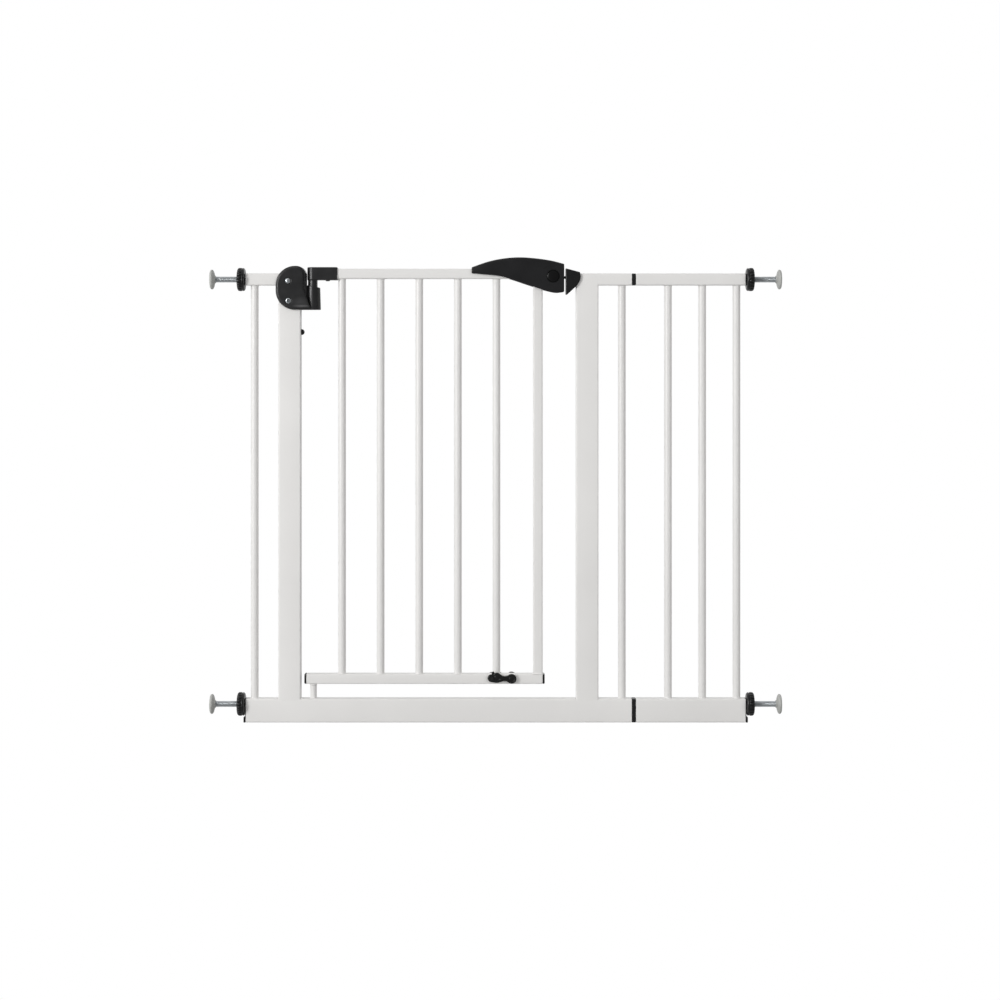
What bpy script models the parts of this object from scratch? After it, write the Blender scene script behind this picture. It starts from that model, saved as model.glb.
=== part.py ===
"""Pressure-fit safety baby gate: a walk-through frame with a swinging door, a latch with a lifting
handle, a three-bar extension panel and four screw-out pressure mounts.

Frame: metres, +Z up, X along the gate with the hinge side at -X, -Y the front. The origin is on the
floor, midway between the two walls, in the middle of the tubes' depth.
"""
import math

import bmesh
import bpy
from mathutils import Matrix, Vector

# --- Driving dimensions ----------------------------------------------------------------------------
GAP = 0.0003                # left between touching pieces
HEIGHT = 0.760              # top of the fixed frame
HALF_SPAN = 0.4843          # a pad's outer face
FRAME_DEPTH = 0.020         # every fixed tube, front to back
WALL = 0.0012               # of the fixed tubes
ROUND = 0.002               # corner radius of the tubes
THRESHOLD = 0.040           # height of the bottom rail
TOP_RAIL = 0.020            # height of the short top rails
RAIL_END = 0.423            # both rails' outer ends
POST_WIDTH = 0.038
LEFT_POST_X = -0.3489
RIGHT_POST_X = 0.1549
JOINT_X = (0.2304, 0.2374)  # the black collar between frame and extension
BAR_RADIUS = 0.0065
BAR_WALL = 0.001
LEFT_BAR_X = -0.4088
RIGHT_BAR_X = 0.2140
EXTENSION_BARS_X = (0.2922, 0.3503, 0.4084)

HINGE_X = -0.309            # the door's upright axis, at y = 0
DOOR_X = (-0.3205, 0.0795)  # ends of the door's rails
DOOR_RAIL = 0.017           # the door's square rails
DOOR_WALL = 0.001
DOOR_BOTTOM = 0.065
DOOR_TOP = 0.768
DOOR_BARS_X = (-0.2607, -0.1952, -0.1297, -0.0642, 0.0013)
UPRIGHT = 0.016
UPRIGHT_X = 0.0715

HANDLE_PIVOT = (0.0974, 0.7552)
HANDLE_END = 0.1159
HANDLE_DEPTH = 0.030
SHELL_WALL = 0.0022
BUTTON_RADIUS = 0.0102
TONGUE_Z = 0.7535

MOUNT_Z = (0.030, 0.750)    # the lower and upper spindles
KNOB_RADIUS = 0.020
KNOB_LENGTH = 0.0130
PLUG_FLANGE = 0.0016        # between a rail's end and its knob
PLUG_FOOT = (0.0038, 0.0092)        # thickness and height of the lower plugs' feet
SPIGOT = 0.022              # how far a plug reaches into its rail
SPINDLE_RADIUS = 0.005
SPINDLE_END = 0.395         # the spindle's inner end
PAD_RADIUS = 0.01675
PAD_THICK = 0.0095
PAD_EDGE = 0.0032           # thickness at the rim, where its domed back starts
PAD_HUB = 0.0066
SOCKET = 0.0055             # the blind hole in the pad that takes the spindle's tip

STOP_PIVOT = (-0.0070, 0.0756)
STOP_PIN = 0.0020           # radius
STOP_PLATE = (0.0106, 0.0146)       # a tab's inner and outer faces, out from the middle

HOUSING_DEPTH = 0.0175      # half the clamshell's depth
HOUSING_LEFT = -0.3720
HOUSING_RIGHT = -0.3210
HOUSING_TOP = 0.7727
HOUSING_BOTTOM = 0.6985
HOUSING_ROUND = 0.0325      # radius of the plate's left side
HOUSING_HEAD = 0.016        # radius of its head at the right
CUP_TOP = 0.7370
CUP_RADIUS = (0.0112, 0.0125)       # at the top and at the foot
BARREL_RADIUS = 0.0095
BARREL_FOOT = 0.7010
SCREW_RADIUS = 0.0022
SCREW_HEAD = 0.0046
HOUSING_SCREWS = ((-0.3510, 0.7473, "hinge_screw_upper"), (-0.3500, 0.7135, "hinge_screw_lower"))
BUMPER_Z = 0.6609
BUMPER_STEM = 0.0025

KNUCKLE_END = -0.2681
KNUCKLE_TOP = 0.7707
KNUCKLE_FOOT = 0.7488
KNUCKLE_HALF = 0.0105       # half its depth
KNUCKLE_SEAT = -0.2960      # where the top rail ends inside it

PIN_STEM = 0.0040           # the lower hinge pin's upper part
PIN_RADIUS = 0.0055
PIN_TOP = 0.0770
BUSH_RADIUS = 0.0056
BUSH_FLANGE = (0.0061, 0.0028)      # radius and thickness

BODY_X = (0.0805, 0.1128)   # the latch body on the door's top rail
BODY_HALF = 0.0090
BODY_Z = (0.7365, 0.7700)
BOLT_HALF_Y = 0.0024
BOLT_HALF_Z = 0.0022
BOLT_TAIL_X = 0.1010
BOLT_TIP_X = 0.1224
BOLT_HEAD = (0.0034, 0.0040)        # half its depth and half its height
BOLT_HEAD_LENGTH = 0.0050
SPRING_LENGTH = 0.0120
BODY_POCKET = (0.0126, 0.0054)      # radius, and how far its floor is from the middle
BUTTON_FLANGE = (0.0120, 0.0010)    # radius and thickness
BUTTON_SINK = 0.0018        # from the handle's face to the button's rim
BUTTON_CROWN = 0.0016

STRIKER_FACE = 0.1186
STRIKER_HALF = 0.0140       # half its depth
STRIKER_SLOT = 0.1246       # the slot's floor

# Colour, roughness and metalness of each finish.
WHITE = ((0.78, 0.77, 0.75), 0.35)
BLACK = ((0.018, 0.018, 0.019), 0.45)
ZINC = ((0.55, 0.58, 0.60), 0.30, 1.0)
GREY_RUBBER = ((0.33, 0.34, 0.33), 0.70)

PARTS = None
CUTTERS = None


# --- Helpers ---------------------------------------------------------------------------------------
def start():
    """Empty the file and make the two collections."""
    global PARTS, CUTTERS
    for obj in list(bpy.data.objects):
        bpy.data.objects.remove(obj, do_unlink=True)
    PARTS = bpy.data.collections.new("safety_baby_gate")
    CUTTERS = bpy.data.collections.new("cutters")
    bpy.context.scene.collection.children.link(PARTS)
    bpy.context.scene.collection.children.link(CUTTERS)


def material(name, colour, roughness, metallic=0.0):
    """One Principled material, named for the part that wears it."""
    made = bpy.data.materials.new(name)
    made.use_nodes = True
    shader = made.node_tree.nodes["Principled BSDF"]
    shader.inputs["Base Color"].default_value = (*colour, 1.0)
    shader.inputs["Roughness"].default_value = roughness
    shader.inputs["Metallic"].default_value = metallic
    return made


def add(name, data, look, parent=None):
    """A named piece in the parts collection, smooth over its round faces."""
    obj = bpy.data.objects.new(name, data)
    obj.data.materials.append(material(name, *look))
    PARTS.objects.link(obj)
    if parent:
        obj.parent = parent
        obj.matrix_parent_inverse = parent.matrix_world.inverted()
    return obj


def pivot(name, x, y, z):
    """An empty that stands on a joint's axis."""
    empty = bpy.data.objects.new(name, None)
    empty.location = (x, y, z)
    PARTS.objects.link(empty)
    bpy.context.view_layer.update()
    return empty


def loop_points(width, height, radius, steps=2):
    """A rounded rectangle about the origin, anticlockwise."""
    points = []
    corners = ((1, 1, 0), (-1, 1, 1), (-1, -1, 2), (1, -1, 3))
    for sx, sy, quarter in corners:
        cx, cy = sx * (width / 2 - radius), sy * (height / 2 - radius)
        for k in range(steps + 1):
            angle = math.pi / 2 * (quarter + k / steps)
            points.append((cx + radius * math.cos(angle), cy + radius * math.sin(angle)))
    return points


def circle_points(radius, count, centre=(0.0, 0.0)):
    """A regular outline about the centre."""
    turn = 2 * math.pi / count
    return [(centre[0] + radius * math.cos(turn * k), centre[1] + radius * math.sin(turn * k))
            for k in range(count)]


def arc(centre, radius, start_deg, end_deg, steps):
    """Points along an arc, both ends included."""
    span = math.radians(end_deg - start_deg)
    first = math.radians(start_deg)
    return [(centre[0] + radius * math.cos(first + span * k / steps),
             centre[1] + radius * math.sin(first + span * k / steps)) for k in range(steps + 1)]


# The local X and Y of an outline, and the way it is pushed, in world axes.
ALONG_Z = Matrix(((1, 0, 0), (0, 1, 0), (0, 0, 1)))
ALONG_X = Matrix(((0, 0, 1), (1, 0, 0), (0, 1, 0)))     # outline X is world Y, outline Y is world Z
ALONG_Y = Matrix(((1, 0, 0), (0, 0, -1), (0, 1, 0)))    # outline X is world X, outline Y is world Z


def push(outlines, axes, low, high):
    """A closed mesh: 2D outlines (the first is the skin, the others are holes) filled and extruded
    from low to high along the axis."""
    curve = bpy.data.curves.new("outline", "CURVE")
    curve.dimensions = "2D"
    curve.fill_mode = "BOTH"
    curve.extrude = (high - low) / 2
    for points in outlines:
        spline = curve.splines.new("POLY")
        spline.points.add(len(points) - 1)
        for point, (x, y) in zip(spline.points, points):
            point.co = (x, y, 0, 1)
        spline.use_cyclic_u = True
    guide = bpy.data.objects.new("outline", curve)
    CUTTERS.objects.link(guide)
    bpy.context.view_layer.update()
    shape = bpy.data.meshes.new_from_object(guide.evaluated_get(bpy.context.evaluated_depsgraph_get()))
    bpy.data.objects.remove(guide)
    bpy.data.curves.remove(curve)
    middle = (low + high) / 2
    sign = -1 if axes is ALONG_Y else 1
    shape.transform(Matrix.Translation((0, 0, sign * middle)))
    shape.transform(axes.to_4x4())
    tidy(shape)
    return shape


def tidy(shape):
    """Weld the seams of a mesh and turn its faces outwards."""
    mesh = bmesh.new()
    mesh.from_mesh(shape)
    bmesh.ops.remove_doubles(mesh, verts=mesh.verts, dist=1e-6)
    bmesh.ops.recalc_face_normals(mesh, faces=mesh.faces)
    mesh.to_mesh(shape)
    mesh.free()
    shape.shade_smooth()
    shape.set_sharp_from_angle(angle=math.radians(35))


def moved(shape, x=0.0, y=0.0, z=0.0):
    """The mesh, shifted."""
    shape.transform(Matrix.Translation((x, y, z)))
    return shape


def turned(profile, axis="Z", count=24):
    """A solid of revolution from (radius, height) points, top to bottom, that end on the axis or
    close on themselves round a bore."""
    shape = bpy.data.meshes.new("profile")
    edges = [(k, k + 1) for k in range(len(profile) - 1)]
    closed = profile[0][0] > 1e-7
    if closed:
        edges.append((len(profile) - 1, 0))
    shape.from_pydata([(r, 0, h) for r, h in profile], edges, [])
    guide = bpy.data.objects.new("profile", shape)
    CUTTERS.objects.link(guide)
    screw = guide.modifiers.new("turn", "SCREW")
    screw.steps = screw.render_steps = count
    screw.use_merge_vertices = True
    screw.merge_threshold = 1e-5
    bpy.context.view_layer.update()
    solid = bpy.data.meshes.new_from_object(guide.evaluated_get(bpy.context.evaluated_depsgraph_get()))
    bpy.data.objects.remove(guide)
    if axis == "X":
        solid.transform(Matrix.Rotation(math.pi / 2, 4, "Y"))
    if axis == "Y":
        solid.transform(Matrix.Rotation(-math.pi / 2, 4, "X"))
    tidy(solid)
    return solid


def rod(radius, low, high, axis="Z", count=16):
    """A plain cylinder along an axis."""
    return turned([(0, high), (radius, high), (radius, low), (0, low)], axis, count)


def block(low, high, bevel=0.0):
    """A box between two corners, with its edges bevelled."""
    mesh = bmesh.new()
    bmesh.ops.create_cube(mesh, size=1.0)
    size = [high[k] - low[k] for k in range(3)]
    bmesh.ops.scale(mesh, vec=size, verts=mesh.verts)
    bmesh.ops.translate(mesh, vec=[(high[k] + low[k]) / 2 for k in range(3)], verts=mesh.verts)
    if bevel:
        bmesh.ops.bevel(mesh, geom=mesh.edges[:], offset=bevel, segments=2, profile=0.5,
                        affect="EDGES", clamp_overlap=True)
    shape = bpy.data.meshes.new("block")
    mesh.to_mesh(shape)
    mesh.free()
    return shape


def cut(obj, *shapes, operation="DIFFERENCE"):
    """Boolean each mesh with the piece; each cutter is hidden and kept."""
    for shape in shapes:
        tool = bpy.data.objects.new(f"{obj.name}_tool", shape)
        CUTTERS.objects.link(tool)
        tool.hide_render = True
        tool.display_type = "WIRE"
        step = obj.modifiers.new(operation.lower(), "BOOLEAN")
        step.operation = operation
        step.object = tool
    return obj


def join(obj, *shapes):
    """Union each mesh with the piece."""
    return cut(obj, *shapes, operation="UNION")


# --- Tubes of the fixed frame ----------------------------------------------------------------------
def tube(width, depth, wall, axes, low, high, radius=ROUND):
    """A rectangular tube about the axis, open at both ends."""
    skin = loop_points(width, depth, radius)
    bore = loop_points(width - 2 * wall, depth - 2 * wall, radius / 2, 1)
    return push([skin, bore], axes, low, high)


def rail(name, height, low, high, z, parent=None, depth=FRAME_DEPTH, wall=WALL):
    """A horizontal tube; z is its middle."""
    return add(name, moved(tube(depth, height, wall, ALONG_X, low, high), z=z), WHITE, parent)


def round_bar(name, x, low, high, parent=None):
    """An upright round tube."""
    outlines = [circle_points(BAR_RADIUS, 24), circle_points(BAR_RADIUS - BAR_WALL, 12)]
    return add(name, moved(push(outlines, ALONG_Z, low, high), x=x), WHITE, parent)


def post(name, x, low, high, parent=None, width=POST_WIDTH, depth=FRAME_DEPTH, wall=WALL):
    """An upright rectangular tube with a welded lid, open below."""
    shape = push([loop_points(width, depth, ROUND)], ALONG_Z, low, high)
    obj = add(name, moved(shape, x=x), WHITE, parent)
    hollow = push([loop_points(width - 2 * wall, depth - 2 * wall, ROUND / 2, 1)], ALONG_Z,
                  low - wall, high - wall)
    return cut(obj, moved(hollow, x=x))


def fixed_frame():
    """The threshold rail, both posts, the short rails and their bars."""
    top_z = HEIGHT - TOP_RAIL / 2
    left_face = LEFT_POST_X - POST_WIDTH / 2
    right_face = RIGHT_POST_X + POST_WIDTH / 2
    foot = THRESHOLD + GAP
    head = HEIGHT - TOP_RAIL - GAP
    rail("bottom_rail", THRESHOLD, -RAIL_END, JOINT_X[0], THRESHOLD / 2)
    rail("left_top_rail", TOP_RAIL, -RAIL_END, left_face - GAP, top_z)
    rail("right_top_rail", TOP_RAIL, right_face + GAP, JOINT_X[0], top_z)
    round_bar("left_bar", LEFT_BAR_X, foot, head)
    round_bar("right_bar", RIGHT_BAR_X, foot, head)
    left = post("left_post", LEFT_POST_X, foot, HEIGHT)
    post("right_post", RIGHT_POST_X, foot, HEIGHT)
    for x, z, _ in HOUSING_SCREWS:
        cut(left, moved(rod(SCREW_RADIUS + GAP, -0.02, 0.02, "Y", 12), x=x, z=z))
    inner = LEFT_POST_X + POST_WIDTH / 2
    cut(left, moved(rod(BUMPER_STEM + GAP, -0.004, 0.004, "X", 12), x=inner, z=BUMPER_Z))


def extension_panel():
    """Two rails, three bars, and the double-ended inserts that join them to the frame."""
    top_z = HEIGHT - TOP_RAIL / 2
    rail("extension_bottom_rail", THRESHOLD, JOINT_X[1], RAIL_END, THRESHOLD / 2)
    rail("extension_top_rail", TOP_RAIL, JOINT_X[1], RAIL_END, top_z)
    for k, x in enumerate(EXTENSION_BARS_X, 1):
        round_bar(f"extension_bar_{k}", x, THRESHOLD + GAP, HEIGHT - TOP_RAIL - GAP)
    joint_insert("bottom_joint_insert", THRESHOLD, THRESHOLD / 2)
    joint_insert("top_joint_insert", TOP_RAIL, top_z)


def joint_insert(name, height, z):
    """A collar between two rails, with a spigot up each tube."""
    reach = 0.028
    clear = 2 * (WALL + GAP)
    collar = push([loop_points(FRAME_DEPTH, height, ROUND)], ALONG_X,
                  JOINT_X[0] + GAP, JOINT_X[1] - GAP)
    obj = add(name, moved(collar, z=z), BLACK)
    spigot = block((JOINT_X[0] - reach, -(FRAME_DEPTH - clear) / 2, z - (height - clear) / 2),
                   (JOINT_X[1] + reach, (FRAME_DEPTH - clear) / 2, z + (height - clear) / 2), 0.0012)
    return join(obj, spigot)


# --- Pressure mounts -------------------------------------------------------------------------------
def pressure_mounts():
    """A plug, knob, spindle and pad at each of the four rail ends."""
    for side, sign in (("left", -1), ("right", 1)):
        for level, z in zip(("lower", "upper"), MOUNT_Z):
            pressure_mount(f"{level}_{side}", sign, z)


def pressure_mount(where, sign, z):
    """One mount. Every profile is turned about X and then stands at the spindle's height."""
    height, middle = (THRESHOLD, THRESHOLD / 2) if z < 0.1 else (TOP_RAIL, HEIGHT - TOP_RAIL / 2)
    clear = 2 * (WALL + GAP)
    low, high = sorted((sign * (RAIL_END + GAP), sign * (RAIL_END + PLUG_FLANGE)))
    flange = push([loop_points(FRAME_DEPTH, height, ROUND)], ALONG_X, low, high)
    plug = add(f"{where}_end_plug", moved(flange, z=middle), BLACK)
    if z < 0.1:
        low, high = sorted((sign * (RAIL_END + PLUG_FLANGE * 0.7), sign * (RAIL_END + PLUG_FOOT[0])))
        join(plug, block((low, -FRAME_DEPTH / 2, 0), (high, FRAME_DEPTH / 2, PLUG_FOOT[1]), 0.0006))
    low, high = sorted((sign * (RAIL_END + PLUG_FLANGE * 0.8), sign * (RAIL_END - SPIGOT)))
    join(plug, block((low, -(FRAME_DEPTH - clear) / 2, middle - (height - clear) / 2),
                     (high, (FRAME_DEPTH - clear) / 2, middle + (height - clear) / 2), 0.0012))
    bore = rod(SPINDLE_RADIUS + GAP, -0.05, 0.05, "X", 20)
    cut(plug, moved(bore, x=sign * RAIL_END, z=z))

    inner = RAIL_END + PLUG_FLANGE + GAP
    hub = pivot(f"{where}_knob_axis", sign * (inner + KNOB_LENGTH / 2), 0, z)
    add(f"{where}_knob", moved(knob_shape(sign * inner, sign * (inner + KNOB_LENGTH)), z=z), BLACK, hub)
    slide = pivot(f"{where}_spindle_axis", sign * HALF_SPAN, 0, z)
    outer = HALF_SPAN - PAD_THICK + SOCKET - GAP
    low, high = sorted((sign * SPINDLE_END, sign * outer))
    add(f"{where}_spindle", moved(rod(SPINDLE_RADIUS, low, high, "X", 16), z=z), ZINC, slide)
    pad = turned(pad_profile(sign), "X", 28)
    add(f"{where}_pad", moved(pad, x=sign * HALF_SPAN, z=z), GREY_RUBBER, slide)


def knob_shape(near, far):
    """A fluted nut with a bore for the spindle."""
    flutes, depth = 12, 0.0012
    points = []
    for k in range(flutes * 4):
        angle = 2 * math.pi * k / (flutes * 4)
        radius = KNOB_RADIUS - (depth if k % 4 in (0, 3) else 0)
        points.append((radius * math.cos(angle), radius * math.sin(angle)))
    low, high = sorted((near, far))
    return push([points, circle_points(SPINDLE_RADIUS + GAP, 20)], ALONG_X, low, high)


def pad_profile(sign):
    """A disc, flat on the wall side and domed behind, with a blind socket for the spindle's tip.
    Heights run from the wall face inwards."""
    socket = SPINDLE_RADIUS + GAP
    rim = 0.001
    dome = PAD_THICK - 0.0015 - PAD_EDGE
    outline = [(0, 0), (PAD_RADIUS - rim, 0), (PAD_RADIUS, rim)]
    for k in range(6):
        radius = PAD_RADIUS - (PAD_RADIUS - PAD_HUB) * k / 5
        share = math.sqrt(max(0.0, 1 - (radius / PAD_RADIUS) ** 2))
        outline.append((radius, PAD_EDGE + dome * share))
    outline += [(PAD_HUB - 0.0003, PAD_THICK), (socket, PAD_THICK), (socket, PAD_THICK - SOCKET),
                (0, PAD_THICK - SOCKET)]
    return [(r, -sign * h) for r, h in outline]


# --- Upper hinge -----------------------------------------------------------------------------------
def housing_outline():
    """A D: round at the left, a rounded head, a flat foot that runs out under the cup."""
    middle = HOUSING_LEFT + HOUSING_ROUND
    points = [(HINGE_X, HOUSING_BOTTOM), (HINGE_X, CUP_TOP - 0.004), (HOUSING_RIGHT, CUP_TOP),
              (HOUSING_RIGHT, HOUSING_TOP - HOUSING_HEAD)]
    points += arc((HOUSING_RIGHT - HOUSING_HEAD, HOUSING_TOP - HOUSING_HEAD), HOUSING_HEAD, 0, 90, 6)[1:]
    points += arc((middle, HOUSING_TOP - HOUSING_ROUND), HOUSING_ROUND, 90, 180, 8)
    points += arc((middle, HOUSING_BOTTOM + HOUSING_ROUND), HOUSING_ROUND, 180, 270, 8)
    return points


def housing_half(name, side):
    """One half of the clamshell: side -1 is the front, +1 the rear. It lies on the post's face,
    meets its twin over the post's lid, and forms half of the cup."""
    near = FRAME_DEPTH / 2 + GAP
    low, high = sorted((side * near, side * HOUSING_DEPTH))
    obj = add(name, push([housing_outline()], ALONG_Y, low, high), BLACK)
    low, high = sorted((-side * 0.001, side * (near + 0.002)))
    crown = [p for p in housing_outline() if p[1] > HEIGHT + GAP]
    join(obj, push([[(crown[0][0], HEIGHT + GAP)] + crown + [(crown[-1][0], HEIGHT + GAP)]],
                   ALONG_Y, low, high))
    web_left = LEFT_POST_X + POST_WIDTH / 2 + GAP
    join(obj, block((web_left, low, HOUSING_BOTTOM + GAP), (HINGE_X, high, CUP_TOP)))
    cup = turned([(0, CUP_TOP), (CUP_RADIUS[0], CUP_TOP), (CUP_RADIUS[1], HOUSING_BOTTOM),
                  (0, HOUSING_BOTTOM)], "Z", 32)
    join(obj, moved(cup, x=HINGE_X))
    well = rod(BARREL_RADIUS + GAP, BARREL_FOOT - GAP, HEIGHT, "Z", 32)
    cut(obj, moved(well, x=HINGE_X))
    low, high = sorted((-side * 0.05, side * GAP / 2))
    cut(obj, block((-0.5, low, 0.6), (-0.2, high, 0.9)))
    for x, z, _ in HOUSING_SCREWS:
        cut(obj, moved(rod(SCREW_RADIUS + GAP, -0.05, 0.05, "Y", 12), x=x, z=z))
    return obj


def upper_hinge():
    """Clamshell, screws, bumper."""
    housing_half("hinge_housing_front", -1)
    housing_half("hinge_housing_rear", 1)
    face = HOUSING_DEPTH + GAP
    for x, z, name in HOUSING_SCREWS:
        dome = [(0, face + 0.0019), (SCREW_HEAD * 0.55, face + 0.0015), (SCREW_HEAD, face + 0.0004),
                (SCREW_HEAD, face), (SCREW_RADIUS, face), (SCREW_RADIUS, -face),
                (SCREW_HEAD, -face), (SCREW_HEAD, -face - 0.0012), (0, -face - 0.0012)]
        screw = turned(dome, "Y", 16)
        screw.transform(Matrix.Rotation(math.pi, 4, "Z"))
        add(name, moved(screw, x=x, z=z), ZINC)
    inner = LEFT_POST_X + POST_WIDTH / 2 + GAP
    bumper = [(0, 0.0055), (0.0022, 0.0051), (0.0040, 0.0036), (0.0050, 0.0012), (0.0050, 0),
              (BUMPER_STEM, 0), (BUMPER_STEM, -0.004), (0, -0.004)]
    add("post_bumper", moved(turned(bumper, "X", 20), x=inner, z=BUMPER_Z), BLACK)


# --- Lower hinge -----------------------------------------------------------------------------------
def lower_hinge(door):
    """The pin that stands on the threshold, and the bush that turns on it."""
    collar = DOOR_BOTTOM - BUSH_FLANGE[1]
    top = PIN_TOP + 0.0005
    pin = [(0, PIN_TOP), (PIN_STEM, PIN_TOP), (PIN_STEM, collar - GAP), (PIN_RADIUS, collar - GAP),
           (PIN_RADIUS, THRESHOLD + GAP), (0, THRESHOLD + GAP)]
    add("lower_hinge_pin", moved(turned(pin, "Z", 20), x=HINGE_X), WHITE)
    bush = [(BUSH_RADIUS, top), (BUSH_RADIUS, DOOR_BOTTOM - GAP), (BUSH_FLANGE[0], DOOR_BOTTOM - GAP),
            (BUSH_FLANGE[0], collar), (PIN_STEM + GAP, collar), (PIN_STEM + GAP, top)]
    add("lower_hinge_bush", moved(turned(bush, "Z", 20), x=HINGE_X), WHITE, door)


# --- Door ------------------------------------------------------------------------------------------
def door_leaf(door):
    """Two rails, five round bars, the end upright, the rail's caps and the knuckle."""
    middle = DOOR_RAIL / 2
    foot = DOOR_BOTTOM + DOOR_RAIL + GAP
    head = DOOR_TOP - DOOR_RAIL - GAP
    rail("door_top_rail", DOOR_RAIL, KNUCKLE_SEAT, DOOR_X[1], DOOR_TOP - middle, door,
         DOOR_RAIL, DOOR_WALL)
    lower = rail("door_bottom_rail", DOOR_RAIL, *DOOR_X, DOOR_BOTTOM + middle, door,
                 DOOR_RAIL, DOOR_WALL)
    bush_hole = rod(BUSH_RADIUS + GAP, DOOR_BOTTOM - 0.005, DOOR_BOTTOM + 0.005, "Z", 20)
    cut(lower, moved(bush_hole, x=HINGE_X))
    cut(lower, moved(rod(STOP_PIN + GAP, -0.02, 0.02, "Y", 12), x=STOP_PIVOT[0], z=STOP_PIVOT[1]))
    for k, x in enumerate(DOOR_BARS_X, 1):
        round_bar(f"door_bar_{k}", x, foot, head, door)
    shape = tube(UPRIGHT, UPRIGHT, DOOR_WALL, ALONG_Z, foot, head)
    add("door_end_upright", moved(shape, x=UPRIGHT_X), WHITE, door)
    end_cap("door_cap_left", DOOR_X[0], -1, door)
    end_cap("door_cap_right", DOOR_X[1], 1, door)


def end_cap(name, x, sign, door):
    """A thin plug over the bottom rail's end."""
    z = DOOR_BOTTOM + DOOR_RAIL / 2
    low, high = sorted((x + sign * GAP, x + sign * 0.0035))
    face = push([loop_points(DOOR_RAIL, DOOR_RAIL, 0.003)], ALONG_X, low, high)
    cap = add(name, moved(face, z=z), BLACK, door)
    half = DOOR_RAIL / 2 - DOOR_WALL - GAP
    reach = 0.0045 if sign < 0 else 0.010
    low, high = sorted((x + sign * 0.001, x - sign * reach))
    join(cap, block((low, -half, z - half), (high, half, z + half), 0.0010))


def hinge_knuckle(door):
    """A sleeve on the top rail's end, and the barrel that turns in the cup."""
    outline = arc((0, 0), KNUCKLE_HALF, 90, 270, 12)
    outline += [(KNUCKLE_END - HINGE_X, -KNUCKLE_HALF), (KNUCKLE_END - HINGE_X, KNUCKLE_HALF)]
    arm = push([outline], ALONG_Z, KNUCKLE_FOOT, KNUCKLE_TOP)
    knuckle = add("hinge_knuckle", moved(arm, x=HINGE_X), BLACK, door)
    barrel = rod(BARREL_RADIUS, BARREL_FOOT, KNUCKLE_TOP - 0.004, "Z", 32)
    join(knuckle, moved(barrel, x=HINGE_X))
    socket = DOOR_RAIL / 2 + GAP
    z = DOOR_TOP - DOOR_RAIL / 2
    cut(knuckle, block((KNUCKLE_SEAT - GAP, -socket, z - socket), (-0.2, socket, z + socket)))


# --- Latch -----------------------------------------------------------------------------------------
def coil(name, start_point, end_point, radius, wire, turns, parent):
    """A compression spring between two points, its wire a polyline tube."""
    curve = bpy.data.curves.new(name, "CURVE")
    curve.dimensions = "3D"
    curve.bevel_depth = wire / 2
    curve.bevel_resolution = 1
    curve.use_fill_caps = True
    spline = curve.splines.new("POLY")
    steps = 10 * turns
    spline.points.add(steps)
    start_point, end_point = Vector(start_point), Vector(end_point)
    along = (end_point - start_point).normalized()
    first = along.orthogonal().normalized()
    second = along.cross(first)
    for k, point in enumerate(spline.points):
        angle = 2 * math.pi * turns * k / steps
        place = start_point.lerp(end_point, k / steps)
        place += radius * (math.cos(angle) * first + math.sin(angle) * second)
        point.co = (*place, 1)
    guide = bpy.data.objects.new(name, curve)
    CUTTERS.objects.link(guide)
    bpy.context.view_layer.update()
    shape = bpy.data.meshes.new_from_object(guide.evaluated_get(bpy.context.evaluated_depsgraph_get()))
    bpy.data.objects.remove(guide)
    tidy(shape)
    return add(name, shape, ZINC, parent)


def latch_inside(door, bolt):
    """The body on the rail's end, the tongue in its channel and the spring behind it."""
    shape = block((BODY_X[0], -BODY_HALF, BODY_Z[0]), (BODY_X[1], BODY_HALF, BODY_Z[1]), 0.0012)
    body = add("latch_body", shape, BLACK, door)
    tail = DOOR_RAIL / 2 - DOOR_WALL - GAP
    z = DOOR_TOP - DOOR_RAIL / 2
    half_y, half_z = BOLT_HEAD
    tail_x = BOLT_TAIL_X - SPRING_LENGTH - 0.0005
    cut(body, block((tail_x, -half_y - GAP, TONGUE_Z - half_z - GAP),
                    (BOLT_TAIL_X + BOLT_HEAD_LENGTH + GAP, half_y + GAP, TONGUE_Z + half_z + GAP)))
    cut(body, block((0.1, -BOLT_HALF_Y - GAP, TONGUE_Z - BOLT_HALF_Z - GAP),
                    (0.13, BOLT_HALF_Y + GAP, TONGUE_Z + BOLT_HALF_Z + GAP)))
    pocket = rod(BODY_POCKET[0], BODY_POCKET[1], 0.02, "Y", 28)
    pocket.transform(Matrix.Rotation(math.pi, 4, "Z"))
    cut(body, moved(pocket, x=HANDLE_PIVOT[0], z=HANDLE_PIVOT[1]))
    join(body, block((DOOR_X[1] - 0.018, -tail, z - tail), (BODY_X[0] + 0.004, tail, z + tail),
                     0.0010))
    head = block((BOLT_TAIL_X, -half_y, TONGUE_Z - half_z),
                 (BOLT_TAIL_X + BOLT_HEAD_LENGTH, half_y, TONGUE_Z + half_z), 0.0004)
    tongue = add("latch_bolt", head, BLACK, bolt)
    join(tongue, block((BOLT_TAIL_X + 0.002, -BOLT_HALF_Y, TONGUE_Z - BOLT_HALF_Z),
                       (BOLT_TIP_X, BOLT_HALF_Y, TONGUE_Z + BOLT_HALF_Z), 0.0006))
    wire = 0.0006
    coil("bolt_spring", (tail_x + wire, 0, TONGUE_Z), (BOLT_TAIL_X - wire, 0, TONGUE_Z), 0.0026, wire,
         6, door)


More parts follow.
